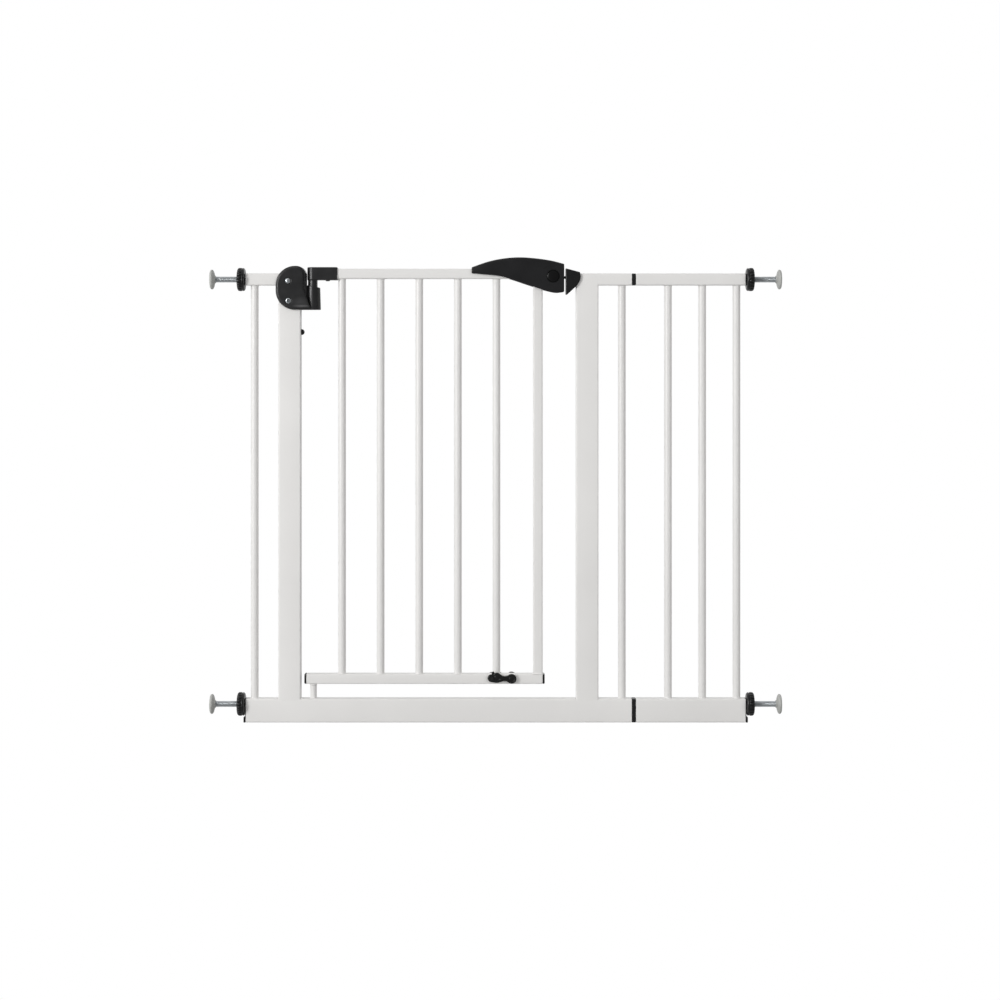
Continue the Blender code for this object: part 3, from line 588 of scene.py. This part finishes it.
def door_leaf():
    """The door's tubes, welds, caps and the bush it turns on."""
    flat_tube("door_top_rail", "X", "door")
    flat_tube("door_bottom_rail", "X", "door")
    flat_tube("door_end_upright", "Z", "door")
    bars = [f"door_bar_{k}" for k in range(1, 6)]
    for node in bars:
        round_tube(node, "door")
    piece("door_welds", merged(bar_welds(bars + ["door_end_upright"])), WHITE, "door")
    for node, side in (("door_cap_left", -1), ("door_cap_right", 1)):
        low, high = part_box(node)
        centre = (low + high) / 2
        thick = 0.0032
        face = low.x if side < 0 else high.x - thick
        outline = rounded_rect(high.y - low.y, high.z - low.z, 0.0030)
        steps = [(0.0016, 0), (0.0006, 0.0004), (0, 0.0013), (0, thick)]
        if side > 0:
            steps = [(inset, thick - w) for inset, w in steps]
        head = loft([ring(outline, inset, "X", (centre.y, centre.z), face + w)
                     for inset, w in steps])
        piece(f"{node}_moulded", head, FITTING_BLACK, "door", node)
    pivot = middle("lower_hinge_pin")
    low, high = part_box("lower_hinge_bush")
    radius = (high.x - low.x) / 2
    flange = low.z + 0.0025
    bush = [(0.0043, high.z), (0.0056, high.z), (0.0056, flange), (radius - 0.0004, flange),
            (radius, flange - 0.0005), (radius, low.z + 0.0006), (radius - 0.0006, low.z),
            (0.0043, low.z)]
    piece("lower_hinge_bush_moulded", lathe(bush, "Z", (pivot.x, 0)), WHITE, "door",
          "lower_hinge_bush")
    low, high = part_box("lower_hinge_pin")
    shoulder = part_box("lower_hinge_bush")[0].z - GAP
    radius = (high.x - low.x) / 2
    pin = [(0, high.z), (0.0034, high.z), (0.004, high.z - 0.0006), (0.004, shoulder),
           (radius - 0.0004, shoulder), (radius, shoulder - 0.0004), (radius, low.z), (0, low.z)]
    foot = weld(circle(radius), "Z", (pivot.x, 0), low.z - GAP, 1, 0.0009, 3.0)
    piece("lower_hinge_pin_turned", merged([lathe(pin, "Z", (pivot.x, 0)), foot]), WHITE, "frame",
          "lower_hinge_pin")


# --- Black collars and plugs ----------------------------------------------------------------------
def collars():
    """The double-ended inserts between frame and extension: a collar with a rounded rim, and a
    spigot each way."""
    for node in ("bottom_joint_insert", "top_joint_insert"):
        low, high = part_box(node)
        centre = (low + high) / 2
        half = 0.0032
        outline = rounded_rect(high.y - low.y, high.z - low.z, TUBE_CORNER)
        steps = [(0.0006, -half), (0.0, -half + 0.0005), (0.0, half - 0.0005), (0.0006, half)]
        solids = [loft([ring(outline, i, "X", (centre.y, centre.z), centre.x + w)
                        for i, w in steps])]
        clear = 0.0016
        for sign in (-1, 1):
            near, far = sorted((centre.x + sign * half * 0.5,
                                centre.x + sign * (high.x - low.x) / 2))
            solids.append(brick((near, low.y + clear, low.z + clear),
                                (far, high.y - clear, high.z - clear), 0.0012))
        piece(f"{node}_moulded", merged(solids), FITTING_BLACK, "frame", node)


RAILS = {("upper", "left"): "left_top_rail", ("upper", "right"): "extension_top_rail",
         ("lower", "left"): "bottom_rail", ("lower", "right"): "extension_bottom_rail"}


def end_plugs():
    """The rail ends' plugs: a thin face plate, a spigot with a bore for the spindle, and on the two
    lower ones a foot below the knob."""
    for level in ("lower", "upper"):
        for side, sign in (("left", -1), ("right", 1)):
            node = f"{level}_{side}_end_plug"
            rail_low, rail_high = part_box(RAILS[level, side])
            end = rail_high.x if sign > 0 else rail_low.x
            low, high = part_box(node)
            centre = (low + high) / 2
            z = middle(f"{level}_{side}_spindle").z
            thick = 0.0009
            outline = rounded_rect(high.y - low.y, high.z - low.z, 0.0026)
            steps = [(0.0004, thick), (0.0, thick - 0.0003), (0.0, GAP)]
            solids = [loft([ring(outline, i, "X", (centre.y, centre.z), end + sign * w)
                            for i, w in steps])]
            clear = 0.0015
            near, far = sorted((end + sign * thick * 0.8, end - sign * 0.022))
            solids.append(brick((near, low.y + clear, low.z + clear),
                                (far, high.y - clear, high.z - clear), 0.0012))
            if level == "lower":
                near, far = sorted((end + sign * thick * 0.5, end + sign * 0.0038))
                solids.append(brick((near, low.y, low.z), (far, high.y, low.z + 0.0092), 0.0009))
            bore = rod(SPINDLE_BORE, CUT, -CUT, "X", (0, z), 40)
            bore.transform(Matrix.Translation((end, 0, 0)))
            data = boolean(boolean(solids[0], solids[1:], "UNION"), [bore])
            piece(f"{node}_moulded", eased(data), FITTING_BLACK, "frame", node)


# --- Pressure mounts ------------------------------------------------------------------------------
def knob(node, sign, z):
    """A ribbed nut: a smooth skirt next to the rail, then a ribbed grip with a rounded lip."""
    low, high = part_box(node)
    inner, outer = (low.x, high.x) if sign > 0 else (high.x, low.x)
    length = abs(outer - inner)
    radius = (high.z - low.z) / 2
    ribs = 20

    def at(share):
        return inner + sign * share * length

    def ribbed(turn, r, x):
        share = abs(x - inner) / length
        if r < radius * 0.78 or share < 0.36:
            return r
        wave = abs(math.sin(ribs * turn / 2))
        return r - 0.0017 * (1 - wave ** 0.6) * min(1.0, (share - 0.36) / 0.06)

    rim = [(SPINDLE_BORE, 0.0), (0.74, 0.0), (0.86, 0.02), (0.93, 0.07), (0.972, 0.15),
           (0.985, 0.24), (0.975, 0.31), (0.945, 0.35), (0.955, 0.38), (0.99, 0.42), (1.0, 0.50),
           (1.0, 0.72), (0.985, 0.82), (0.95, 0.90), (0.90, 0.955), (0.84, 0.985), (0.78, 1.0),
           (0.72, 0.985), (0.68, 0.91), (0.42, 0.91), (0.40, 0.97), (0.38, 1.0), (0.0058, 1.0),
           (SPINDLE_BORE, 0.96)]
    profile = [(r if r < 0.01 else r * radius, at(share)) for r, share in rim]
    return lathe(profile, "X", (0, z), ribs * 8, ribbed)


def spindle(node, z):
    """A thread of M10's coarse pitch cut all along the rod, with both ends chamfered. It is
    left-handed, as the knob's coupling turns it."""
    low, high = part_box(node)
    radius = (high.z - low.z) / 2
    count, per_turn = 28, 8
    steps = int((high.x - low.x) / THREAD_PITCH * per_turn)
    rings = []
    for k in range(steps + 1):
        x = low.x + (high.x - low.x) * k / steps
        ends = min(x - low.x, high.x - x)
        row = []
        for j in range(count):
            turn = 2 * math.pi * j / count
            phase = (x / THREAD_PITCH + j / count) % 1.0
            ridge = min(1.0, abs(2 * phase - 1) * 1.9)
            r = min(radius - THREAD_DEPTH * (1 - ridge), radius - 0.0012 + ends)
            row.append(place("X", r * math.cos(turn), z + r * math.sin(turn), x))
        rings.append(row)
    return loft(rings, angle=75)


def pad(node, sign, z):
    """A thick round pad: flat on the wall, a rounded rim, domed behind, a hub on the spindle."""
    low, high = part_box(node)
    wall, back = (high.x, low.x) if sign > 0 else (low.x, high.x)
    radius = (high.z - low.z) / 2
    thick = abs(wall - back)
    edge, crown, hub = 0.0034, 0.0078, 0.0066

    def at(depth):
        return wall - sign * depth

    profile = [(0, at(0.0)), (radius * 0.74, at(0.0)), (radius * 0.86, at(0.0003)),
               (radius * 0.94, at(0.0010)), (radius * 0.985, at(0.0021)), (radius, at(edge))]
    for k in range(1, 15):
        r = radius - (radius - hub) * (k / 14) ** 1.6
        profile.append((r, at(edge + (crown - edge) * (1 - (r / radius) ** 2.6) ** 0.55)))
    profile += [(hub - 0.0002, at(thick - 0.0005)), (hub - 0.0006, at(thick)), (0.0054, at(thick)),
                (0.0054, at(thick - 0.005)), (0, at(thick - 0.005))]
    return lathe(profile, "X", (0, z), 64)


def pressure_mounts():
    """Knob, threaded spindle and pad at each of the four rail ends."""
    for level in ("lower", "upper"):
        for side, sign in (("left", -1), ("right", 1)):
            where = f"{level}_{side}"
            z = middle(f"{where}_spindle").z
            piece(f"{where}_knob_ribbed", knob(f"{where}_knob", sign, z), FITTING_BLACK,
                  f"{where}_knob", f"{where}_knob")
            piece(f"{where}_spindle_threaded", spindle(f"{where}_spindle", z), ZINC,
                  f"{where}_spindle", f"{where}_spindle")
            piece(f"{where}_pad_moulded", pad(f"{where}_pad", sign, z), GREY,
                  f"{where}_spindle", f"{where}_pad")


# --- Upper hinge ----------------------------------------------------------------------------------
def housing_outline(low, high, right, cup_top, foot_x):
    """The clamshell's side view: a D with a rounded head and a flat foot."""
    radius, head = 0.0325, 0.016
    centre_x = low.x + radius
    points = [(foot_x, low.z), (foot_x, cup_top - 0.004), (right, cup_top), (right, high.z - head)]
    points += arc((right - head, high.z - head), head, 0, 90, 12)[1:]
    points += arc((centre_x, high.z - radius), radius, 90, 180, 20)
    points += arc((centre_x, low.z + radius), radius, 180, 270, 20)
    return points


def housing(node, side):
    """Half of the clamshell: a base plate over the post, a raised panel with a soft edge, the crown
    over the post's lid, and half of a tapered cup."""
    low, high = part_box(node)
    post_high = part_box("left_post")[1]
    hinge_x = middle("lower_hinge_pin").x
    right, cup_top, foot_x = HINGE_PLATE_EDGE, HINGE_CUP_TOP, HINGE_FOOT_EDGE
    well, well_floor = HINGE_WELL
    face = max(abs(low.y), abs(high.y))
    near = post_high.y + GAP
    outline = housing_outline(low, high, right, cup_top, foot_x)
    base = plate([outline], "Y", *sorted((side * near, side * (face - 0.0030))), 0.0016)
    radius, head = 0.0300, 0.0135
    left, foot, top = low.x + 0.0022, low.z + 0.0028, high.z - 0.0022
    edge = right - 0.0036
    panel = [(hinge_x - 0.0042, foot), (edge, cup_top - 0.0020), (edge, top - head)]
    panel += arc((edge - head, top - head), head, 0, 90, 12)[1:]
    panel += arc((left + radius, top - radius), radius, 90, 180, 20)
    panel += arc((left + radius, foot + radius), radius, 180, 270, 20)
    raised = plate([panel], "Y", *sorted((side * (near + 0.002), side * face)), 0.0024)
    crown_low, crown_high = sorted((-side * 0.001, side * (near + 0.003)))
    crown = [p for p in outline if p[1] > post_high.z + GAP]
    crown = [(crown[0][0], post_high.z + GAP)] + crown + [(crown[-1][0], post_high.z + GAP)]
    roof = plate([crown], "Y", crown_low, crown_high)
    rise = 0.0036
    web = brick((post_high.x + GAP, crown_low, low.z + GAP),
                (foot_x, crown_high, cup_top + rise - 0.0006), 0.0005)
    cup = lathe([(0, cup_top + rise), (0.0112, cup_top + rise), (0.0124, low.z + 0.0016),
                 (0.0125, low.z + 0.0010), (0.0120, low.z), (0, low.z)], "Z", (hinge_x, 0), 72)
    slope = plate([[(right - 0.0002, cup_top + rise), (-0.28, cup_top - 0.0045), (-0.28, 0.76),
                    (right - 0.0002, 0.76)]], "Y", -0.0145, 0.0145)
    lip = plate([[(hinge_x - 0.014, low.z), (hinge_x - 0.0035, low.z),
                  (hinge_x - 0.0035, low.z + 0.0030), (hinge_x - 0.0075, low.z + 0.0085),
                  (hinge_x - 0.014, low.z + 0.0120)]],
                "Y", *sorted((side * 0.002, side * (face - 0.0038))), 0.0008)
    bore = rod(well, 0.80, well_floor, "Z", (hinge_x, 0), 64)
    half_low, half_high = sorted((-side * 0.05, side * GAP / 2))
    half = brick((-0.5, half_low, 0.6), (-0.2, half_high, 0.9), 0.0001, 1)
    cutters = [bore, half, slope]
    for screw in ("hinge_screw_upper", "hinge_screw_lower"):
        at = middle(screw)
        ends = sorted((side * (face - 0.0008), side * (face + 0.01)))
        cutters.append(rod(SCREW_RECESS, ends[1], ends[0], "Y", (at.x, at.z), 40))
        cutters.append(rod(SCREW_HOLE, CUT, -CUT, "Y", (at.x, at.z), 24))
    data = moulded([base, raised, roof, web, cup, lip], cutters, 0.0004, 7)
    return piece(f"{node}_moulded", data, HINGE_BLACK, "frame", node)


def hinge_screws():
    """Two through screws: a bright dome above, a tubular rivet below, flat heads behind."""
    for node, domed in (("hinge_screw_upper", True), ("hinge_screw_lower", False)):
        at = middle(node)
        face = abs(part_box("hinge_housing_front")[0].y) + GAP
        shank, head = 0.0022, 0.0046
        if domed:
            front = [(0, -face - 0.0019), (head * 0.35, -face - 0.0018),
                     (head * 0.65, -face - 0.0014), (head * 0.88, -face - 0.0008),
                     (head, -face - 0.0001), (head, -face + 0.0004)]
        else:
            front = [(0, -face + 0.0050), (0.0014, -face + 0.0050), (0.0019, -face + 0.0008),
                     (0.0024, -face - 0.0006), (0.0030, -face - 0.0012), (0.0039, -face - 0.0010),
                     (head, -face - 0.0002), (head, -face + 0.0004)]
        rear = [(shank, -face + 0.0004), (shank, face - 0.0004), (head, face - 0.0004),
                (head, face + 0.0003), (head * 0.85, face + 0.0010), (0.0018, face + 0.0012),
                (0.0014, face + 0.0004), (0, face + 0.0004)]
        piece(f"{node}_plated", lathe(front + rear, "Y", (at.x, at.z), 48), ZINC, "frame", node)


def bumper():
    """The black dome pressed into the left post."""
    low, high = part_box("post_bumper")
    at = middle("post_bumper")
    radius = (high.z - low.z) / 2
    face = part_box("left_post")[1].x + GAP
    tip = high.x
    profile = [(0, tip)]
    for k in range(1, 9):
        turn = math.pi / 2 * k / 8
        profile.append((radius * math.sin(turn),
                        face + 0.0008 + (tip - face - 0.0008) * math.cos(turn)))
    profile += [(radius, face + 0.0003), (radius - 0.0003, face), (0.0025, face),
                (0.0025, low.x), (0, low.x)]
    piece("post_bumper_moulded", lathe(profile, "X", (0, at.z), 40), FITTING_BLACK, "frame",
          "post_bumper")


def knuckle():
    """The sleeve on the top rail's end and the barrel that drops into the cup."""
    low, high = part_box("hinge_knuckle")
    rail_low, rail_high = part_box("door_top_rail")
    hinge_x = middle("lower_hinge_pin").x
    half = (high.y - low.y) / 2
    outline = arc((hinge_x, 0), half, 90, 270, 28) + [(high.x, -half), (high.x, half)]
    arm = plate([outline], "Z", SLEEVE_FOOT, high.z, 0.0012)
    radius = 0.0095
    barrel = lathe([(0, high.z - 0.004), (radius, high.z - 0.004), (radius, low.z + 0.0006),
                    (radius - 0.0006, low.z), (0, low.z)], "Z", (hinge_x, 0), 64)
    (notch_low, notch_high), notch_floor = NOTCH
    notch = brick((notch_low, -half, notch_floor), (notch_high, half, SLEEVE_FOOT), 0.0006)
    boss = lathe([(0, SLEEVE_FOOT + 0.002), (0.0036, SLEEVE_FOOT + 0.002),
                  (0.0036, SLEEVE_FOOT - 0.0011), (0.0029, SLEEVE_FOOT - 0.0017),
                  (0, SLEEVE_FOOT - 0.0017)], "Z", (BOSS_X, 0), 32)
    mid_z = (rail_low.z + rail_high.z) / 2
    clear = (rail_high.y - rail_low.y) / 2 + GAP
    socket = brick((rail_low.x - GAP, -clear, mid_z - clear), (-0.2, clear, mid_z + clear), 0.0018)
    data = moulded([arm, barrel, boss], [socket, notch], 0.00035, 3)
    piece("hinge_knuckle_moulded", data, HINGE_BLACK, "door", "hinge_knuckle")


# --- Latch ----------------------------------------------------------------------------------------
SPINE = [(-0.0406, 0.7708), (-0.0128, 0.7803), (0.0122, 0.7855), (0.0384, 0.7876), (0.0646, 0.7862),
         (0.0937, 0.7821), (0.1159, 0.7765)]
BELLY = [(-0.0406, 0.7602), (-0.0228, 0.7585), (0.0063, 0.7554), (0.0282, 0.7495), (0.0501, 0.7422),
         (0.0719, 0.7350), (0.0864, 0.7306), (0.1025, 0.7276), (0.1159, 0.7290)]
SHELL_WALL = 0.0022


def handle_shell(node, side):
    """Half of the handle: a crowned cheek with a rounded shoulder, open below and at both ends."""
    first, last = SPINE[0][0], SPINE[-1][0]
    depth, ease = 0.015, 0.0010
    stations = [0.0, 0.00012, 0.0004, 0.0010]
    stations += [0.0010 + (last - first - 0.0020) * k / 56 for k in range(1, 56)]
    stations += [last - first - s for s in (0.0010, 0.0004, 0.00012, 0.0)]
    rings = []
    for along in stations:
        x = first + along
        end = min(along, last - first - along)
        shrink = ease - math.sqrt(max(0.0, ease ** 2 - max(0.0, ease - end) ** 2))
        top, bottom = through(SPINE, x) - shrink, through(BELLY, x) + shrink
        taper = min(1.0, along / 0.040)
        half = depth - 0.0022 * (1 - taper) ** 2 - shrink
        height = top - bottom
        shoulder, hem = min(0.0048, height * 0.36), 0.0013
        outer = [(GAP / 2, top)]
        for k in range(1, 5):
            outer.append((GAP / 2 + (half - shoulder) * k / 5, top - 0.0004 * (k / 5) ** 2))
        for k in range(9):
            turn = math.pi / 2 * k / 8
            outer.append((half - shoulder + shoulder * math.sin(turn) - 0.0005,
                          top - 0.0004 - shoulder * (1 - math.cos(turn))))
        for k in range(1, 6):
            share = k / 6
            z = (top - 0.0004 - shoulder) * (1 - share) + (bottom + hem) * share
            outer.append((half - 0.0005 + 0.0005 * math.sin(math.pi * share), z))
        for k in range(4):
            turn = math.pi / 2 * k / 3
            outer.append((half - 0.0005 - hem + hem * math.cos(turn),
                          bottom + hem - hem * math.sin(turn)))
        wall = max(0.0006, SHELL_WALL - shrink)
        inner_top = top - wall
        inner = [(half - 0.0005 - wall, bottom), (half - 0.0005 - wall, bottom + 0.002)]
        inner += [(half - 0.0005 - wall, max(inner_top - 0.0025, bottom + 0.003)),
                  (half - 0.0012 - wall, max(inner_top - 0.0008, bottom + 0.004)),
                  (half - 0.0030 - wall, max(inner_top, bottom + 0.005)), (GAP / 2, inner_top)]
        rings.append([Vector((x, side * y, z)) for y, z in outer + inner])
    data = loft(rings, angle=42)
    if side < 0:
        at = middle("lock_button")
        bore = lathe([(0, -0.003), (0.0105, -0.003), (0.0105, -0.0138), (0.0113, -0.0150),
                      (0.0117, -0.020), (0, -0.020)], "Y", (at.x, at.z), 64)
        data = eased(boolean(data, [bore]), 42)
    return piece(f"{node}_moulded", data, HANDLE_BLACK, "handle", node)


def latch():
    """Handle shells, button, and better finishes for what shows between handle and striker."""
    handle_shell("handle_front_shell", -1)
    handle_shell("handle_rear_shell", 1)
    low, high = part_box("lock_button")
    at = middle("lock_button")
    radius, rim = 0.0102, -0.0132
    dome = [(0, low.y)]
    for k in range(1, 10):
        turn = math.pi / 2 * k / 9
        dome.append((radius * math.sin(turn), rim - (rim - low.y) * math.cos(turn)))
    dome += [(radius, -0.0125), (0.0120, -0.0125), (0.0120, high.y), (0, high.y)]
    piece("lock_button_moulded", lathe(dome, "Y", (at.x, at.z), 56), BUTTON_BLACK, "button",
          "lock_button")
    for node, material in (("latch_body", FITTING_BLACK), ("latch_bolt", FITTING_BLACK),
                           ("bolt_spring", ZINC), ("button_spring", ZINC),
                           ("swing_stop_pin", FITTING_BLACK)):
        obj = frame["nodes"][node]
        obj.data.materials.clear()
        obj.data.materials.append(material)


def striker():
    """The wedge on the right post, with rounded edges. The tongue's slot is closed in front and
    behind, where the CAD leaves it open for the door's swing."""
    low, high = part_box("striker")
    post_low, post_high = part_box("right_post")
    outline = [(low.x, 0.7686), (low.x, 0.7252), (low.x + 0.0011, low.z),
               (low.x + 0.0030, low.z + 0.0008),
               (0.1380, 0.7399), (high.x - 0.0012, 0.7478), (high.x, 0.7530),
               (high.x - 0.0004, 0.7572), (0.1426, 0.7622)]
    body = plate([outline], "Y", low.y, high.y, 0.0012)
    clear = post_high.y + GAP
    post_cut = brick((post_low.x - GAP, -clear, 0.70), (0.16, clear, 0.80), 0.0002, 1)
    bolt = middle("latch_bolt")
    slot = brick((0.11, -0.0060, bolt.z - 0.0036),
                 (low.x + 0.0062, 0.0060, bolt.z + 0.0036), 0.0006)
    data = moulded([body], [post_cut, slot], 0.00035, 3)
    piece("striker_moulded", data, FITTING_BLACK, "frame", "striker")


# --- Swing stops ----------------------------------------------------------------------------------
def lobes(x, z):
    """The tab's outline: two lobes close together, a neck, and a third."""
    points = arc((x, z), 0.0066, 62, 255, 20)
    points += arc((x + 0.0089, z + 0.0008), 0.0086, 252, 296, 6)
    points += arc((x + 0.0222, z - 0.0150), 0.0105, 116, 76, 6)
    points += arc((x + 0.0339, z - 0.0010), 0.0083, 222, 496, 28)
    points += arc((x + 0.0222, z + 0.0142), 0.0105, 284, 244, 6)
    points += arc((x + 0.0089, z + 0.0008), 0.0086, 64, 108, 6)
    return points


def swing_stops():
    """A tab on each side of the door's foot, with a groove round two of its lobes. Only the front
    one has a nub."""
    pin = middle("swing_stop_pin")
    for side, body in ((-1, "stop_front"), (1, "stop_rear")):
        node = f"swing_{body}"
        low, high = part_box(node)
        outer = low.y if side < 0 else high.y
        inner = side * 0.0106
        slab = plate([lobes(pin.x, pin.z)], "Y", *sorted((inner, outer)), 0.0014)
        rings_at = [(0.0089, 0.0008, 0.0052), (0.0339, -0.0010, 0.0050)]
        cutters = []
        for dx, dz, radius in rings_at:
            ends = sorted((outer - side * 0.0006, outer + side * 0.004))
            cutters.append(lathe([(radius, ends[1]), (radius, ends[0]), (radius - 0.0012, ends[0]),
                                  (radius - 0.0012, ends[1])], "Y", (pin.x + dx, pin.z + dz), 40))
        hub_low, hub_high = sorted((side * 0.0088, side * 0.0112))
        hub = rod(0.0050, hub_high, hub_low, "Y", (pin.x, pin.z), 32)
        nub = lathe([(0, outer - side * 0.0002), (0.0018, outer - side * 0.0004),
                     (0.0026, outer - side * 0.0014), (0.0026, inner + side * 0.0008),
                     (0, inner + side * 0.0008)], "Y", (pin.x + 0.0026, pin.z + 0.0086), 24)
        hole = rod(0.0023, CUT, -CUT, "Y", (pin.x, pin.z), 24)
        solids = [slab, hub, nub] if side < 0 else [slab, hub]
        data = moulded(solids, cutters + [hole], 0.0003, 3)
        piece(f"{node}_moulded", data, FITTING_BLACK, body, node)


# --- Stage ----------------------------------------------------------------------------------------
def floor():
    """A plain white floor. It meets the white surroundings without a line and lights nothing."""
    mesh = bmesh.new()
    bmesh.ops.create_grid(mesh, x_segments=1, y_segments=1, size=60.0)
    data = bpy.data.meshes.new("floor")
    mesh.to_mesh(data)
    mesh.free()
    obj = bpy.data.objects.new("floor", data)
    obj.location.z = -0.0003
    SCENE.collection.objects.link(obj)
    obj.visible_diffuse = obj.visible_glossy = obj.visible_shadow = False
    tree = Tree("floor_white")
    tree.set(Base_Color=(0.0, 0.0, 0.0, 1.0), Roughness=1.0, Specular_IOR_Level=0.0,
             Emission_Color=(1.0, 1.0, 1.0, 1.0), Emission_Strength=1.0)
    data.materials.append(tree.material)


def world():
    """A white surround. It lights the gate dimly from the front, the right and below, where the
    studio is dark, and more from the left, above and behind."""
    sky = bpy.data.worlds.new("studio")
    SCENE.world = sky
    sky.use_nodes = True
    nodes, links = sky.node_tree.nodes, sky.node_tree.links
    nodes.clear()
    coords = nodes.new("ShaderNodeTexCoord").outputs["Generated"]
    along = nodes.new("ShaderNodeVectorMath")
    along.operation = "DOT_PRODUCT"
    along.inputs[1].default_value = (-0.42, 0.58, 0.10)
    links.new(coords, along.inputs[0])
    ramp = nodes.new("ShaderNodeMapRange")
    for name, value in (("From Min", -0.75), ("From Max", 0.75),
                        ("To Min", 0.22), ("To Max", 0.70)):
        ramp.inputs[name].default_value = value
    links.new(along.outputs["Value"], ramp.inputs["Value"])
    lit = nodes.new("ShaderNodeBackground")
    lit.inputs["Color"].default_value = (1.0, 1.0, 1.0, 1.0)
    links.new(ramp.outputs["Result"], lit.inputs["Strength"])
    seen = nodes.new("ShaderNodeBackground")
    seen.inputs["Color"].default_value = (1.0, 1.0, 1.0, 1.0)
    path = nodes.new("ShaderNodeLightPath")
    choose = nodes.new("ShaderNodeMixShader")
    links.new(path.outputs["Is Camera Ray"], choose.inputs["Fac"])
    links.new(lit.outputs[0], choose.inputs[1])
    links.new(seen.outputs[0], choose.inputs[2])
    out = nodes.new("ShaderNodeOutputWorld")
    links.new(choose.outputs[0], out.inputs["Surface"])


def lamp(name, location, target, width, height, power, mirrored=True):
    """A soft light panel aimed at a point. mirrored is whether glossy surfaces reflect it."""
    data = bpy.data.lights.new(name, "AREA")
    data.shape = "RECTANGLE"
    data.size, data.size_y = width, height
    data.energy = power
    obj = bpy.data.objects.new(name, data)
    obj.visible_glossy = mirrored
    obj.location = location
    obj.rotation_euler = (Vector(target) - Vector(location)).to_track_quat("-Z", "Y").to_euler()
    SCENE.collection.objects.link(obj)


def camera():
    """Level and square on to the gate, so that upright lines stay upright, with the frame shifted
    down to take in the threshold."""
    data = bpy.data.cameras.new("camera")
    data.sensor_width = 36.0
    distance, width, height, view_z = 3.30, 1.6915, 0.62, 0.3767
    data.lens = data.sensor_width * (distance - 0.010) / width
    data.shift_y = (view_z - height) / width
    obj = bpy.data.objects.new("camera", data)
    obj.location = (0.0073, -distance, height)
    obj.rotation_euler = (math.pi / 2, 0, 0)
    SCENE.collection.objects.link(obj)
    SCENE.camera = obj


camera()
white_frame()
door_leaf()
collars()
end_plugs()
pressure_mounts()
housing("hinge_housing_front", -1)
housing("hinge_housing_rear", 1)
hinge_screws()
bumper()
knuckle()
latch()
striker()
swing_stops()
floor()
world()
lamp("key", (-2.9, -2.6, 1.2), (0.0, 0.0, 0.4), 1.2, 2.2, 92.0)
lamp("fill", (2.2, -3.3, 1.0), (0.0, 0.0, 0.4), 2.4, 2.4, 44.0, mirrored=False)
lamp("top", (-0.6, -0.8, 3.4), (0.0, 0.0, 0.4), 2.6, 2.0, 6.0)
lamp("back", (0.6, 3.0, 2.2), (0.0, 0.0, 0.4), 2.4, 2.4, 12.0)
SCENE.view_settings.view_transform = "Standard"
